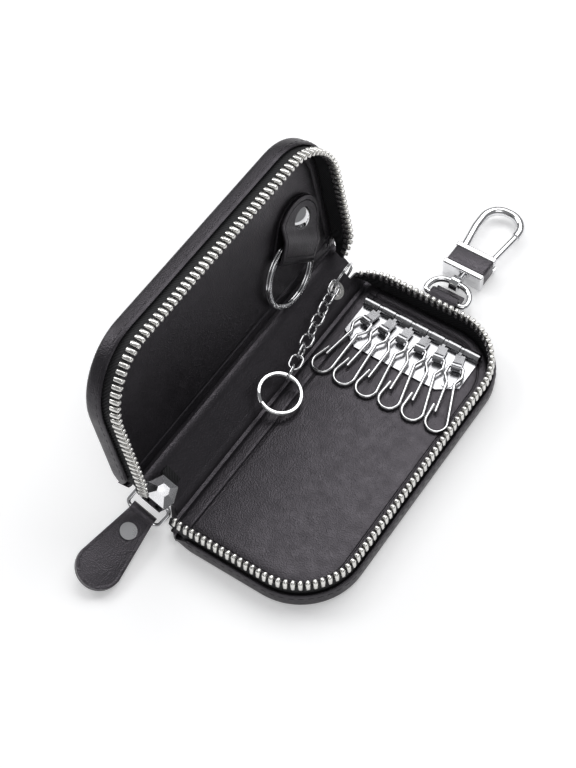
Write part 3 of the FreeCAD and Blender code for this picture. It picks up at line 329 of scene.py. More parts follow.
def lay_weave(shell, run_of, level_of):
    weave = shell.loops.layers.uv.new("weave")
    for face in shell.faces:
        for corner in face.loops:
            corner[weave].uv = (run_of(corner.vert.co), level_of(corner.vert.co))


zip_tape = twill("zip_tape", TAPE_DARK, TAPE_LIGHT)
for half, place, body in HALVES:
    shell = sweep_half(TAPE_EDGE, TAPE_START, closed=True)
    bmesh.ops.holes_fill(shell, edges=[edge for edge in shell.edges if edge.is_boundary], sides=0)
    lay_weave(shell, run_at, lambda spot: spot.z)
    tape = make_piece(half + "_zip_tape", shell, zip_tape, place)
    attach(tape, body)
    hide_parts(half + "_tape")


# Zipper teeth: small nickel-plated beads with a rounded crown, stamped and clamped one by one on the cord.
# They stand at an even pitch with a dark gap between them, round both halves.
TOOTH_LONG, TOOTH_WIDE, TOOTH_HIGH, TOOTH_SINK = 1.6, 2.4, 3.44, 1.64
TOOTH_PITCH, FIRST_TOOTH = 2.25, 9.5
CROWN_TAPER, CROWN_ROUND, TOOTH_SHARP = (0.9, 0.74, 1.0), 0.5, 60.0
DULL_SHARE, TARNISH_CLOUD, RUB_CLOUD, MARK_CLOUD, MARK_DEPTH = 0.88, 90.0, 180.0, 700.0, 0.0001


def plating(name, colour, rough_low, rough_high):
    """Plated metal: slightly cloudy polish with faint marks."""
    finish, tree, shader = start_finish(name, colour, rough_low, 1.0)
    dull = tuple(channel * DULL_SHARE for channel in colour)
    tarnish = spread(tree, cloud(tree, TARNISH_CLOUD, 2.0), 0.0, 1.0)
    tree.links.new(two_tone(tree, tarnish, dull, colour), shader.inputs["Base Color"])
    rubbed = spread(tree, cloud(tree, RUB_CLOUD, 4.0), rough_low, rough_high)
    tree.links.new(rubbed, shader.inputs["Roughness"])
    marks = emboss(tree, cloud(tree, MARK_CLOUD, 2.0), 0.02, MARK_DEPTH)
    tree.links.new(marks, shader.inputs["Normal"])
    return finish


def edge_places(inset, first, pitch):
    """Even places along a half's edge, each turned to face along it."""
    radius = CORNER - inset
    lead, bend, length = SIDE - first, radius * math.pi / 2, 2 * REACH
    total = 2 * (lead + bend) + length
    count = int(total / pitch)
    places = []
    for step in range(count + 1):
        run = total * step / count
        if run < lead:
            places.append(move(first + run, inset - CASE_END, 0))
        elif run < lead + bend:
            bent = math.degrees((run - lead) / radius)
            places.append(move(SIDE, -REACH, 0) @ turn(bent, "Z") @ move(0, -radius, 0))
        elif run < lead + bend + length:
            places.append(move(CASE_WIDTH - inset, run - lead - bend - REACH, 0) @ turn(90, "Z"))
        elif run < lead + 2 * bend + length:
            bent = math.degrees((run - lead - bend - length) / radius)
            places.append(move(SIDE, REACH, 0) @ turn(bent + 90, "Z") @ move(0, -radius, 0))
        else:
            places.append(move(first + total - run, CASE_END - inset, 0) @ turn(180, "Z"))
    return places


def set_row(bead, places):
    """Set a copy of a small bead at each place."""
    shell = bmesh.new()
    for place in places:
        before = len(shell.verts)
        shell.from_mesh(bead)
        shell.verts.ensure_lookup_table()
        bmesh.ops.transform(shell, matrix=place, verts=shell.verts[before:])
    return shell


bead = bmesh.new()
bmesh.ops.create_cube(bead, size=1.0)
bmesh.ops.scale(bead, vec=(TOOTH_LONG, TOOTH_WIDE, TOOTH_HIGH), verts=bead.verts)
crown = [spot for spot in bead.verts if spot.co.z > 0]
bmesh.ops.scale(bead, vec=CROWN_TAPER, verts=crown)
bmesh.ops.bevel(
    bead, geom=bead.edges[:], offset=CROWN_ROUND, segments=2, profile=0.5, affect="EDGES", material=-1,
)
bmesh.ops.translate(bead, vec=(0, 0, TOOTH_HIGH / 2 - TOOTH_SINK), verts=bead.verts)
tooth = as_mesh("tooth", bead)

tooth_nickel = plating("tooth_nickel", (0.84, 0.83, 0.8), 0.2, 0.34)
for half, place, body in HALVES:
    spots = edge_places(TAPE_MIDDLE, FIRST_TOOTH, TOOTH_PITCH)
    shell = set_row(tooth, [move(0, 0, TAPE_TOP) @ spot for spot in spots])
    row = make_piece(half + "_zip_teeth", shell, tooth_nickel, place, TOOTH_SHARP)
    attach(row, body)
    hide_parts(half + "_teeth")


# Wall seams: one row of black thread through wall and tape, about three stitches to the centimetre.
# Each stitch is a short rounded length that sinks a little into the leather.
STITCH_PITCH, STITCH_LEVEL, STITCH_HALF, STITCH_THICK = 3.0, 4.4, 1.15, 0.17
STITCH_SINK, FIRST_STITCH = 0.04, TAPE_START + 1.5
THREAD_DARK, THREAD_LIGHT = (0.006, 0.006, 0.006), (0.013, 0.013, 0.013)

stitch_shell = bmesh.new()
bmesh.ops.create_uvsphere(stitch_shell, u_segments=8, v_segments=5, radius=1.0)
bmesh.ops.scale(stitch_shell, vec=(STITCH_HALF, STITCH_THICK, STITCH_THICK), verts=stitch_shell.verts)
stitch = as_mesh("stitch", stitch_shell)

thread = leather("thread", THREAD_DARK, THREAD_LIGHT, rough_low=0.42, rough_high=0.55, grain=0.2, gloss=0.6)
for half, place, body in HALVES:
    spots = edge_places(STITCH_SINK, FIRST_STITCH, STITCH_PITCH)
    shell = set_row(stitch, [move(0, 0, STITCH_LEVEL) @ spot for spot in spots])
    seam = make_piece(half + "_seam", shell, thread, place)
    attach(seam, body)


# Folds: the lining leather runs on over each fold as one soft skin, glued to a half and to the spine.
# It dips at the fold line and narrows between the zipper's two tapes.
FOLD_ROWS = [
    ("half", 3.0, 3.46, 58.5, 58.5), ("half", 1.7, 3.46, 57.8, 58.3), ("half", 1.0, 3.32, 56.6, 58.2),
    ("half", 0.5, 2.95, 55.2, 58.0), ("half", 0.15, 2.72, 53.6, 57.8), ("spine", 0.5, -0.78, 52.4, 57.5),
    ("spine", 1.0, -0.52, 51.8, 57.3), ("spine", 1.9, -0.38, 51.2, 57.0), ("spine", 3.0, -0.4, 50.8, 56.8),
    ("spine", 3.8, -0.45, 50.7, 56.8), ("spine", 3.8, -2.15, 50.7, 56.8), ("spine", 3.0, -2.2, 50.8, 56.8),
    ("spine", 1.2, -2.35, 51.7, 57.2), ("spine", 0.3, -2.75, 53.0, 57.6), ("half", 0.6, 0.2, 55.4, 58.0),
    ("half", 1.7, 0.0, 57.8, 58.3), ("half", 3.0, 0.0, 58.5, 58.5),
]
FOLD_CUTS, LONG_EDGE = 30, 60.0


def half_spot(half, along, y, level):
    return LOWER @ Vector((along, y, level)) if half == "lower" else LID @ Vector((along, -y, level))


def spine_spot(along, y, level):
    return SPINE @ Vector((-along, y, level))


def fold_spot(half, row, y):
    kind, along, level = row[:3]
    if kind == "half":
        return half_spot(half, along, y, level)
    return spine_spot(along if half == "lower" else SPINE_WIDTH - along, y, level)


for half, _, body in HALVES:
    shell = bmesh.new()
    near = [shell.verts.new(fold_spot(half, row, -row[3])) for row in FOLD_ROWS]
    rim = [shell.edges.new((near[i - 1], near[i])) for i in range(len(near))]
    for tip in spots_of(bmesh.ops.extrude_edge_only(shell, edges=rim)["geom"]):
        row = FOLD_ROWS[min(range(len(near)), key=lambda i: (near[i].co - tip.co).length)]
        tip.co = fold_spot(half, row, row[4])
    lengthwise = [edge for edge in shell.edges if edge.calc_length() > LONG_EDGE]
    bmesh.ops.subdivide_edges(shell, edges=lengthwise, cuts=FOLD_CUTS)
    bmesh.ops.holes_fill(shell, edges=[edge for edge in shell.edges if edge.is_boundary], sides=0)
    fold = make_piece(half + "_fold", shell, lining_leather)
    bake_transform(fold)


# Spine strip: a narrow stiff strip of the same leather between the two folds, of two skins glued together.
# A round hole is punched near its far end for the eyelet, and its edge is notched there for the ring.
STRIP_NEAR, STRIP_FAR, STRIP_TOP, STRIP_THICK, FOLD_WIDE = -50.7, 56.8, -0.45, 1.7, 3.8
NOTCH_END, NOTCH_HALF, NOTCH_SLOPE = 53.0, 1.5, 0.3
EYELET_S, EYELET_Y, BARREL, HOLE_STEPS = 7.0, 45.6, 2.4, 40

shell = bmesh.new()
strip_plan = [
    (FOLD_WIDE, STRIP_NEAR), (SPINE_WIDTH - FOLD_WIDE, STRIP_NEAR), (SPINE_WIDTH - FOLD_WIDE, STRIP_FAR),
    (EYELET_S + NOTCH_HALF + NOTCH_SLOPE, STRIP_FAR), (EYELET_S + NOTCH_HALF, NOTCH_END),
    (EYELET_S - NOTCH_HALF, NOTCH_END), (EYELET_S - NOTCH_HALF - NOTCH_SLOPE, STRIP_FAR),
    (FOLD_WIDE, STRIP_FAR),
]
corners = [shell.verts.new((-along, y, STRIP_TOP)) for along, y in strip_plan]
for i in range(len(corners)):
    shell.edges.new((corners[i - 1], corners[i]))
hole_place = move(-EYELET_S, EYELET_Y, STRIP_TOP)
bmesh.ops.create_circle(shell, segments=HOLE_STEPS, radius=BARREL, matrix=hole_place)
bmesh.ops.triangle_fill(shell, edges=shell.edges[:], use_beauty=True, use_dissolve=False)
under = bmesh.ops.extrude_face_region(shell, geom=shell.faces[:], use_keep_orig=True)["geom"]
bmesh.ops.translate(shell, verts=spots_of(under), vec=(0, 0, -STRIP_THICK))
strip = make_piece("spine_strip", shell, lining_leather, SPINE)
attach(strip, "spine")
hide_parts("spine_lining", "spine_cover")


# Eyelet: a nickel-plated brass tube with a flange, pushed through the strip and rolled over on the far side.
# It has the same plating as the teeth, and carries the chain's first ring.
finish_nodes(tooth_nickel, "eyelet")


# Zip ends: each tape runs on past its half's last stitch and bends in over the spine with its last teeth.
# It is trimmed lower there.
END_STEPS, END_TOOTH, END_SHRINK, TAPE_DROP, TAPE_THICK = 25, 0.75, 0.2, 8.7, 0.8
SPINE_UP = SPINE.to_3x3() @ Vector((0, 0, 1))
LID_UP = LID.to_3x3() @ Vector((0, 0, 1))
FLOOR_UP = Vector((0, 0, 1))
ZIP_ENDS = (
    ("lower_near_end", "lower_case", FLOOR_UP, Vector((-0.4, 0.3, 0.85)), 3.0, 2.2, (
        half_spot("lower", 8, -57.65, 10.2), half_spot("lower", 5.0, -57.7, 10.2),
        half_spot("lower", 2.6, -57.4, 10.25), half_spot("lower", 0.9, -56.9, 10.4))),
    ("lid_near_end", "lid", LID_UP, LID_UP + SPINE_UP, 2.4, 2.2, (
        half_spot("lid", 8, -57.65, 10.2), half_spot("lid", 3.5, -57.8, 9.9),
        spine_spot(16.0, -57.4, 5.2), spine_spot(13.8, -56.9, 3.7))),
    ("lower_far_end", "lower_case", FLOOR_UP, SPINE_UP, 5.0, 1.0, (
        half_spot("lower", 8, 57.65, 10.2), half_spot("lower", 3, 57.2, 10.2),
        spine_spot(4.2, 55.7, 5.2), spine_spot(6.0, 53.6, 4.2))),
    ("lid_far_end", "lid", LID_UP, SPINE_UP, 5.0, 1.0, (
        half_spot("lid", 8, 57.65, 10.2), half_spot("lid", 4, 56.7, 10.3),
        spine_spot(15.4, 55.4, 6.4), spine_spot(13.8, 53.2, 4.4))),
)


def end_frames(bends, first_up, last_up):
    """Places along a bent tape's upper edge, facing along it, with the run to each."""
    path = interpolate_bezier(*bends, END_STEPS)
    frames, run = [], 0.0
    for i, spot in enumerate(path):
        along = (path[min(i + 1, END_STEPS - 1)] - path[max(i - 1, 0)]).normalized()
        side = first_up.lerp(last_up, i / (END_STEPS - 1)).cross(along).normalized()
        run += (spot - path[i - 1]).length if i else 0.0
        frames.append((run, move(*spot) @ Matrix((along, side, along.cross(side))).transposed().to_4x4()))
    return frames


def frame_at(frames, run):
    return min(frames, key=lambda entry: abs(entry[0] - run))[1]


for name, body, first_up, last_up, last_drop, trim, bends in ZIP_ENDS:
    frames = end_frames(bends, first_up, last_up)
    total = frames[-1][0]
    shell = bmesh.new()
    edge = [shell.verts.new(place.translation) for run, place in frames]
    line = [shell.edges.new(pair) for pair in zip(edge, edge[1:])]
    for tip in spots_of(bmesh.ops.extrude_edge_only(shell, edges=line)["geom"]):
        run, place = min(frames, key=lambda entry: (entry[1].translation - tip.co).length)
        tip.co = place @ Vector((0, 0, -TAPE_DROP - (last_drop - TAPE_DROP) * ease(trim * run / total)))
    shell.normal_update()
    for spot in shell.verts:
        spot.co += spot.normal * TAPE_THICK / 2
    bmesh.ops.solidify(shell, geom=shell.faces[:], thickness=TAPE_THICK)
    lay_weave(shell, lambda spot: (spot - bends[0]).length, lambda spot: spot.z)
    tape = make_piece(name + "_tape", shell, zip_tape)
    beads, run = [], END_TOOTH
    while run < total:
        beads.append(frame_at(frames, run) @ Matrix.Scale(1.0 - END_SHRINK * run / total, 4))
        run += TOOTH_PITCH
    row = make_piece(name + "_teeth", set_row(tooth, beads), tooth_nickel, Matrix(), TOOTH_SHARP)
    for piece, slot in ((tape, "zipper_tape"), (row, "zipper_teeth")):
        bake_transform(piece)
bpy.data.meshes.remove(tooth)
bpy.data.meshes.remove(stitch)


# Slider tape: the closed end of the zipper, sewn flat to the spine and rising into the slider's channel.
# It is the same woven tape, doubled.
SLIDER_S, SLIDER_TAPE_WIDE, SLIDER_TAPE_RIM, SHARP_TURN = 10.6, 6.2, 0.15, 1.0
SLIDER_TAPE_PATH = [
    (-43.0, -0.1), (-44.6, -0.1), (-45.6, 0.1), (-46.3, 0.8), (-47.2, 2.4), (-48.0, 3.2), (-49.0, 3.3),
    (-54.15, 3.3),
]


def bent_strip(path, wide, thick, rim):
    """A strip bent along a path of lengthwise and upward positions, with its cut edges rubbed round."""
    shell = bmesh.new()
    spots = [shell.verts.new((-wide / 2, y, level)) for y, level in path]
    line = [shell.edges.new(pair) for pair in zip(spots, spots[1:])]
    grown = bmesh.ops.extrude_edge_only(shell, edges=line)["geom"]
    bmesh.ops.translate(shell, verts=spots_of(grown), vec=(wide, 0, 0))
    shell.normal_update()
    for spot in shell.verts:
        spot.co += spot.normal * thick / 2
    bmesh.ops.solidify(shell, geom=shell.faces[:], thickness=thick)
    lengthwise = [edge for edge in shell.edges if abs(edge.verts[0].co.x - edge.verts[1].co.x) < NEAR]
    sides = [edge for edge in lengthwise if edge.calc_face_angle(0) > SHARP_TURN]
    bmesh.ops.bevel(shell, geom=sides, offset=rim, segments=2, profile=0.5, affect="EDGES", material=-1)
    return shell


shell = bent_strip(SLIDER_TAPE_PATH, SLIDER_TAPE_WIDE, TAPE_THICK, SLIDER_TAPE_RIM)
lay_weave(shell, lambda spot: spot.y, lambda spot: spot.x)
slider_tape = make_piece("slider_tape", shell, zip_tape, SPINE @ move(-SLIDER_S, 0, 0))
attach(slider_tape, "spine")
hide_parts("zip_end_tape")


# Slider and its pull loop: the slider is die-cast zinc, faceted like a cut stone and plated.
# The loop is a bent wire of the same finish, caught under the slider's bridge.
nickel = plating("nickel", (0.8, 0.8, 0.81), 0.06, 0.16)
cast_nickel = plating("cast_nickel", (0.62, 0.62, 0.635), 0.12, 0.24)
finish_nodes(cast_nickel, "slider")
finish_nodes(nickel, "pull_loop")


# Pull tab: two leaves of black leather glued back to back, with their cut edges left showing.
# Their narrow end is rolled round the pull loop, and a rivet closes the roll.
TAB = move(-38.5, -58.663, 5.232) @ turn(25, "Y") @ turn(2, "X") @ turn(-90, "Z")
TAB_TOP, TAB_END, TAB_LENGTH, TAB_START, LEAF_THICK, LEAF_GAP = 4.5, 7.5, 29.0, 1.0, 1.42, 0.08
TAB_ROUND = TAB_LENGTH - TAB_END
TAB_LINE, TAB_PRESS, LINE_WIDE, LEAF_RUB, ROUND_STEPS = 0.7, 0.06, 0.2, 0.28, 24
ROLL_RADIUS, ROLL_THICK, ROLL_STEPS = 2.0, 1.0, 28
TAB_DARK, TAB_LIGHT = (0.008, 0.0077, 0.0085), (0.017, 0.016, 0.018)


def leaf_plan(start, start_half, straight, end_half):
    """Outline of a tongue with a half-round end."""
    plan = [(start, -start_half)]
    for step in range(ROUND_STEPS + 1):
        bent = math.pi * (step / ROUND_STEPS - 0.5)
        plan.append((straight + end_half * math.cos(bent), end_half * math.sin(bent)))
    return plan + [(start, start_half)]


def join_in(shell, other):
    mesh = as_mesh("joined", other)
    shell.from_mesh(mesh)
    bpy.data.meshes.remove(mesh)


def cut_leaf(shell, plan, low, thick, line, press, up=True):
    """A cut leaf of leather with rubbed edges and a line pressed inside its rim."""
    leaf = bmesh.new()
    start = plan[0][0]
    face = leaf.faces.new([leaf.verts.new((x, y, low)) for x, y in plan])
    grown = bmesh.ops.extrude_face_region(leaf, geom=[face], use_keep_orig=True)["geom"]
    bmesh.ops.translate(leaf, verts=spots_of(grown), vec=(0, 0, thick))
    bmesh.ops.recalc_face_normals(leaf, faces=leaf.faces)
    rims = [edge for edge in leaf.edges if abs(edge.verts[0].co.z - edge.verts[1].co.z) < NEAR]
    rims = [edge for edge in rims if max(end.co.x for end in edge.verts) > start + NEAR]
    bmesh.ops.bevel(leaf, geom=rims, offset=LEAF_RUB, segments=2, profile=0.5, affect="EDGES", material=-1)
    side = 1 if up else -1
    shown = max(
        leaf.faces,
        key=lambda patch: (round(side * patch.calc_center_median().z, 3), patch.calc_area()),
    )
    for inset, depth in ((line, 0.0), (LINE_WIDE, -press), (LINE_WIDE, press)):
        bmesh.ops.inset_region(leaf, faces=[shown], thickness=inset, depth=depth)
    join_in(shell, leaf)


shell = bmesh.new()
tab_plan = leaf_plan(TAB_START, TAB_TOP, TAB_ROUND, TAB_END)
cut_leaf(shell, tab_plan, LEAF_GAP / 2, LEAF_THICK, TAB_LINE, TAB_PRESS)
cut_leaf(shell, tab_plan, -LEAF_GAP / 2 - LEAF_THICK, LEAF_THICK, TAB_LINE, TAB_PRESS, up=False)
roll = bmesh.new()
roll_place = move(0, -TAB_TOP, 0) @ turn(90, "X")
bmesh.ops.create_circle(roll, segments=ROLL_STEPS, radius=ROLL_RADIUS, matrix=roll_place)
grown = bmesh.ops.extrude_edge_only(roll, edges=roll.edges[:])["geom"]
bmesh.ops.translate(roll, verts=spots_of(grown), vec=(0, 2 * TAB_TOP, 0))
bmesh.ops.recalc_face_normals(roll, faces=roll.faces)
bmesh.ops.solidify(roll, geom=roll.faces[:], thickness=ROLL_THICK)
join_in(shell, roll)
tab_leather = leather(
    "tab_leather", TAB_DARK, TAB_LIGHT, rough_low=0.28, rough_high=0.42, grain=0.6, gloss=0.95,
)
tab = make_piece("tab_leather", shell, tab_leather, TAB)
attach(tab, "puller_tab")
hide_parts("pull_tab")
# The rivet head gets a darkened copy of the nickel plating, as a painted dark reflection.
rivet_nickel = plating("rivet_nickel", (0.4, 0.4, 0.41), 0.24, 0.36)
finish_nodes(rivet_nickel, "tab_rivet")


# Key plate: a pressed steel plate riveted to the lower half, with seven knuckles rolled round a rod.
# Six hangers turn on the rod between the knuckles. The plate is bright steel; it, its rivets and the hangers
# get a greyed colour as painted shade from the hooks above, and the bare rod gets a near-black colour as
# painted shade in the gaps between the knuckles.
HOOKS = range(1, 7)

# Greyed steel colour: painted shade from the hooks above the plate and hangers.
bright_steel = plating("bright_steel", (0.48, 0.48, 0.495), 0.18, 0.32)
# Near-black colour: painted shade in the gaps between the knuckles.
rod_steel = plating("rod_steel", (0.09, 0.09, 0.095), 0.3, 0.45)
finish_nodes(rod_steel, "key_rod")
finish_nodes(bright_steel, "key_plate", "plate_rivets", *("hook_hanger_%d" % i for i in HOOKS))


# Key hooks: six lengths of spring wire bent to long loops that hang from the hangers.
# The wire is bright drawn and plated.
wire_nickel = plating("wire_nickel", (0.74, 0.74, 0.75), 0.08, 0.18)
finish_nodes(wire_nickel, *("hook_wire_%d" % i for i in HOOKS))


# Chain: nine curb links of plated wire join the eyelet's ring to the key ring.
# The links are bent and closed with no solder.
LINKS = range(1, 10)

finish_nodes(wire_nickel, *("chain_link_%d" % i for i in LINKS))


# Ring strap: black leather folded round a split ring and pinched together under one domed rivet.
# It stands inside the lid, with a line pressed round its edge.
STRAP = LID @ move(17.0, 25.3 - CASE_END, FOLD_LEVEL) @ turn(-40, "Z")
STRAP_HALF, STRAP_END, STRAP_STRAIGHT, STRAP_THICK = 9.5, 11.0, 10.0, 1.0
RING_ROOM, PINCH_GAP, PINCH_START, PINCH_END = 2.6, 0.2, 5.2, 11.6
BEND_MIDDLE = STRAP_THICK + RING_ROOM / 2
STRAP_LINE, STRAP_PRESS, PINCH_CUTS, BEND_STEPS = 1.2, 0.2, 13, 14

shell = bmesh.new()
strap_plan = leaf_plan(0.0, STRAP_HALF, STRAP_STRAIGHT, STRAP_END)
cut_leaf(shell, strap_plan, STRAP_THICK + PINCH_GAP, STRAP_THICK, STRAP_LINE, STRAP_PRESS)
for step in range(PINCH_CUTS + 1):
    whole = shell.verts[:] + shell.edges[:] + shell.faces[:]
    across = PINCH_START + (PINCH_END - PINCH_START) * step / PINCH_CUTS
    bmesh.ops.bisect_plane(shell, geom=whole, plane_co=(across, 0, 0), plane_no=(1, 0, 0))
for spot in shell.verts:
    pinched = ease((spot.co.x - PINCH_START) / (PINCH_END - PINCH_START))
    spot.co.z += (RING_ROOM - PINCH_GAP) * (1 - pinched)
cut_leaf(shell, strap_plan, 0.0, STRAP_THICK, STRAP_LINE, STRAP_PRESS, up=False)
bend_spots = [
    shell.verts.new((0, y, level)) for y, level in (
        (-STRAP_HALF, 0.0), (STRAP_HALF, 0.0), (STRAP_HALF, STRAP_THICK), (-STRAP_HALF, STRAP_THICK))
]
bend_edges = [shell.edges.new((bend_spots[i - 1], bend_spots[i])) for i in range(4)]
bmesh.ops.spin(
    shell, geom=bend_spots + bend_edges, cent=(0, 0, BEND_MIDDLE), axis=(0, 1, 0), angle=math.pi,
    steps=BEND_STEPS, use_duplicate=False,
)
strap = make_piece("strap_leather", shell, black_leather, STRAP)
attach(strap, "lid")
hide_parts("ring_strap")
finish_nodes(nickel, "strap_rivet")


# Split rings: one on the strap, one through the eyelet and one at the chain's end for a key.
# Each is two turns of flattened spring wire lying on each other, with one short crossing.
CROSSING, CROSSING_STEPS, TURN_STEPS = math.radians(26), 8, 66
TURN_FIT, TURN_RISE, WIRE_ROUND = 0.98, 2.04, 0.85
STRAP_RING_SIZE, EYELET_RING_SIZE, KEY_RING_SIZE = (11.6, 1.8, 1.8), (5.72, 0.9, 0.92), (7.0, 1.3, 1.36)


def split_ring(name, node, body, radius, band, thick, place):
    high = thick / 4
    shell = bmesh.new()
    section = shell.faces.new([
        shell.verts.new((radius + across * band / 2, 0, level * high * TURN_FIT - high))
        for across, level in ((-1, -1), (1, -1), (1, 1), (-1, 1))
    ])
    bmesh.ops.bevel(
        shell, geom=section.verts[:], offset=high * WIRE_ROUND, segments=3, profile=0.5,
        affect="VERTICES", material=-1,
    )
    front = shell.verts[:] + shell.edges[:]
    bmesh.ops.delete(shell, geom=shell.faces[:], context="FACES_ONLY")
    for bend, steps, rise in (
        (2 * math.pi - CROSSING, TURN_STEPS, 0.0),
        (CROSSING, CROSSING_STEPS, TURN_RISE * high / CROSSING_STEPS),
        (2 * math.pi - CROSSING, TURN_STEPS, 0.0),
    ):
        front = bmesh.ops.spin(
            shell, geom=front, axis=(0, 0, 1), dvec=(0, 0, rise), angle=bend, steps=steps,
            use_duplicate=False,
        )["geom_last"]
        front = spots_of(front) + edges_of(front)
    bmesh.ops.holes_fill(shell, edges=[edge for edge in shell.edges if edge.is_boundary], sides=0)
    ring = make_piece(name, shell, nickel, place)
    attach(ring, body)
    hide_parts(node)


CHAIN_HEADING, CHAIN_DIP = math.radians(9.6), math.radians(4.5)
chain_along = Vector((
    math.cos(CHAIN_DIP) * math.sin(CHAIN_HEADING),
    -math.cos(CHAIN_DIP) * math.cos(CHAIN_HEADING),
    -math.sin(CHAIN_DIP),
))
chain_side = chain_along.cross(FLOOR_UP).normalized()
chain_place = Matrix((chain_along, chain_side, chain_side.cross(chain_along))).transposed().to_4x4()
EYELET_RING = SPINE @ move(-EYELET_S, 50.025, -1.3) @ turn(-28, "Y") @ move(0, 0, 2.755) @ turn(90, "Y")
KEY_RING = move(-26.707, 0.6, 8.1205) @ Matrix.Rotation(math.radians(-16), 4, chain_along) @ chain_place
STRAP_RING = STRAP @ move(-5.5, 0, 2.3)
split_ring("strap_split_ring", "strap_ring", "held_ring", *STRAP_RING_SIZE, STRAP_RING @ turn(200, "Z"))
split_ring("eyelet_split_ring", "eyelet_ring", "spine_ring", *EYELET_RING_SIZE, EYELET_RING @ turn(120, "Z"))
split_ring("key_split_ring", "chain_ring", "key_ring", *KEY_RING_SIZE, KEY_RING @ turn(60, "Z"))


# Clasp loop: a strip of black leather let into the end wall, folded round the D-ring's bar and glued back.
# A short tongue of it lies on under the bar.
CLASP_X, CLASP_Z, LOOP_Y = -3.6, 3.5, 64.8
LOOP_THICK, LOOP_WIDE, LOOP_ROUND, LOOP_RIM = 1.2, 10.4, 1.95, 0.2
LOOP_BENDS = range(75, -76, -15)
LOOP_LEG = [(-5.4, 0.62), (-4.2, 0.66), (-2.6, 1.0), (-1.2, 1.5)]
TONGUE_PATH = [(0.2, -1.9), (2.0, -1.85), (3.6, -1.8), (4.9, -1.75)]

loop_path = list(LOOP_LEG)
for bent in map(math.radians, LOOP_BENDS):
    loop_path.append((LOOP_ROUND * math.cos(bent), LOOP_ROUND * math.sin(bent)))
loop_path += [(y, -level) for y, level in reversed(LOOP_LEG)]
shell = bent_strip(loop_path, LOOP_WIDE, LOOP_THICK, LOOP_RIM)
join_in(shell, bent_strip(TONGUE_PATH, LOOP_WIDE, LOOP_THICK, LOOP_RIM))
loop = make_piece("loop_leather", shell, black_leather, move(CLASP_X, LOOP_Y, CLASP_Z))
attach(loop, "lower_case")
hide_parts("clasp_loop")


# Swivel clasp: a cast, plated body with a bow and a sprung gate, turning on a swivel in a wire D-ring.
# Its pin and spring are bright steel.
finish_nodes(nickel, "d_ring", "swivel", "clasp_body", "clasp_gate", "gate_pin", "gate_spring")


# Clasp band: a band of black leather wrapped round the clasp's core between its two rims.
# Its ends are butted and glued at the back.
FRAME_Y, BAND_NEAR, BAND_FAR = 76.2, 2.2, 8.6
BAND_WIDE, BAND_HIGH, BAND_THICK, BAND_ROUND, BAND_RIM = 14.8, 6.6, 0.8, 1.3, 0.2

shell = bmesh.new()
bmesh.ops.create_cube(shell, size=1.0)
bmesh.ops.scale(shell, vec=(BAND_WIDE, BAND_FAR - BAND_NEAR, BAND_HIGH), verts=shell.verts)
ends = [face for face in shell.faces if abs(face.calc_center_median().y) > 1]
bmesh.ops.delete(shell, geom=ends, context="FACES_ONLY")
folds = [edge for edge in shell.edges if abs(edge.verts[0].co.y - edge.verts[1].co.y) > 1]
bmesh.ops.bevel(shell, geom=folds, offset=BAND_ROUND, segments=6, profile=0.5, affect="EDGES", material=-1)
bmesh.ops.recalc_face_normals(shell, faces=shell.faces)
bmesh.ops.solidify(shell, geom=shell.faces[:], thickness=BAND_THICK)
rims = [edge for edge in shell.edges if abs(edge.verts[0].co.y - edge.verts[1].co.y) < NEAR]
rims = [edge for edge in rims if edge.calc_face_angle(0) > SHARP_TURN]
bmesh.ops.bevel(shell, geom=rims, offset=BAND_RIM, segments=2, profile=0.5, affect="EDGES", material=-1)
band_place = move(CLASP_X, FRAME_Y + (BAND_NEAR + BAND_FAR) / 2, CLASP_Z)
band = make_piece("band_leather", shell, tab_leather, band_place)
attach(band, "clasp")
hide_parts("clasp_band")


# Studio: a pale floor, soft lamps and a camera at the photograph's angle.
# The floor is lifted to white only where it is seen, straight or by reflection, and keeps the shadow.
FLOOR_REACH, FLOOR_TONE, FLOOR_LIFT = 6.0, (0.9, 0.9, 0.905), 0.25
ROOM_TONE, ROOM_LIGHT, LAMP_AIM = (0.97, 0.98, 1, 1), 0.24, (-0.03, 0, 0)

floor_shell = bmesh.new()
bmesh.ops.create_grid(floor_shell, x_segments=1, y_segments=1, size=FLOOR_REACH)
floor_mesh = as_mesh("floor", floor_shell)
floor = bpy.data.objects.new("floor", floor_mesh)
bpy.context.scene.collection.objects.link(floor)
paper, paper_tree, paper_shader = start_finish("paper", FLOOR_TONE, 0.8)
rays = paper_tree.nodes.new("ShaderNodeLightPath")
seen = paper_tree.nodes.new("ShaderNodeMath")
seen.operation = "ADD"
seen.use_clamp = True
paper_tree.links.new(rays.outputs["Is Camera Ray"], seen.inputs[0])
paper_tree.links.new(rays.outputs["Is Glossy Ray"], seen.inputs[1])
seen_through = paper_tree.nodes.new("ShaderNodeMath")
seen_through.operation = "ADD"
seen_through.use_clamp = True
paper_tree.links.new(seen.outputs[0], seen_through.inputs[0])
paper_tree.links.new(rays.outputs["Is Transmission Ray"], seen_through.inputs[1])
lift = paper_tree.nodes.new("ShaderNodeMath")
lift.operation = "MULTIPLY"
lift.inputs[1].default_value = FLOOR_LIFT
paper_tree.links.new(seen_through.outputs[0], lift.inputs[0])
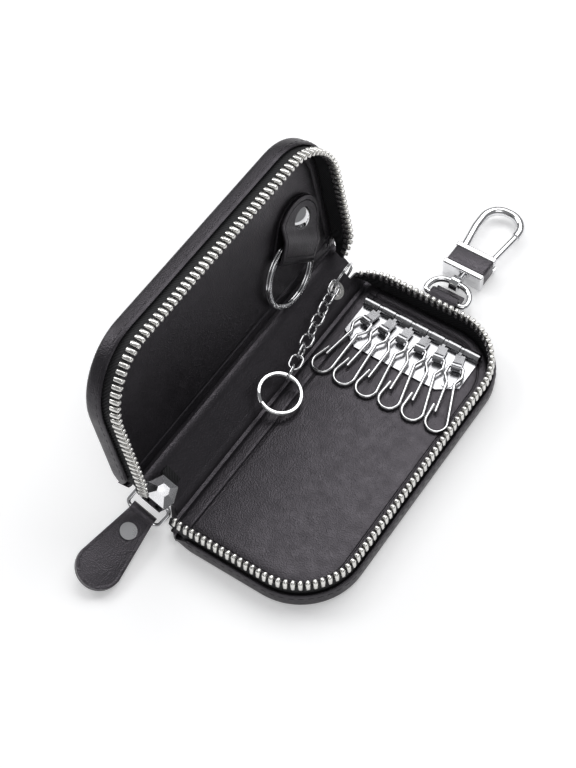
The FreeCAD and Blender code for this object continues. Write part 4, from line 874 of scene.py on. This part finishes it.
paper_shader.inputs["Emission Color"].default_value = (1, 1, 1, 1)
paper_tree.links.new(lift.outputs[0], paper_shader.inputs["Emission Strength"])
floor_mesh.materials.append(paper)

world = bpy.data.worlds.new("studio")
bpy.context.scene.world = world
world.use_nodes = True
world.node_tree.nodes["Background"].inputs["Color"].default_value = ROOM_TONE
world.node_tree.nodes["Background"].inputs["Strength"].default_value = ROOM_LIGHT


def soft_lamp(name, place, wide, deep, radiance):
    data = bpy.data.lights.new(name, "AREA")
    data.shape = "RECTANGLE"
    data.size, data.size_y = wide, deep
    data.energy = radiance * math.pi * wide * deep
    lamp = bpy.data.objects.new(name, data)
    bpy.context.scene.collection.objects.link(lamp)
    lamp.location = place
    lamp.rotation_euler = (Vector(LAMP_AIM) - Vector(place)).to_track_quat("-Z", "Y").to_euler()


soft_lamp("key", (-0.15, 0.62, 1.05), 1.4, 0.75, 2.9)
soft_lamp("side", (-1.0, 0.0, 0.8), 0.5, 0.5, 5.0)
soft_lamp("front", (0.45, -0.55, 1.05), 0.7, 0.7, 1.5)

AZIMUTH, ELEVATION, ROLL = math.radians(36.51), math.radians(55.85), math.radians(-3.0)
TARGET, DISTANCE = Vector((-28.465, 7.681, 3.4)) * MM, 576.0 * MM
SENSOR, LENS, NEAR_CLIP = 36.0, 82.54, 0.01
back = Vector((
    math.sin(AZIMUTH) * math.cos(ELEVATION), -math.cos(AZIMUTH) * math.cos(ELEVATION), math.sin(ELEVATION),
))
right = (-back).cross(FLOOR_UP).normalized()
facing = Matrix((right, right.cross(-back), back)).transposed().to_4x4()
camera_data = bpy.data.cameras.new("camera")
camera_data.sensor_width = SENSOR
camera_data.lens = LENS
camera_data.clip_start = NEAR_CLIP
camera = bpy.data.objects.new("camera", camera_data)
bpy.context.scene.collection.objects.link(camera)
camera.matrix_world = Matrix.Translation(TARGET + back * DISTANCE) @ facing @ Matrix.Rotation(ROLL, 4, "Z")
bpy.context.scene.camera = camera
bpy.context.scene.view_settings.view_transform = "Standard"
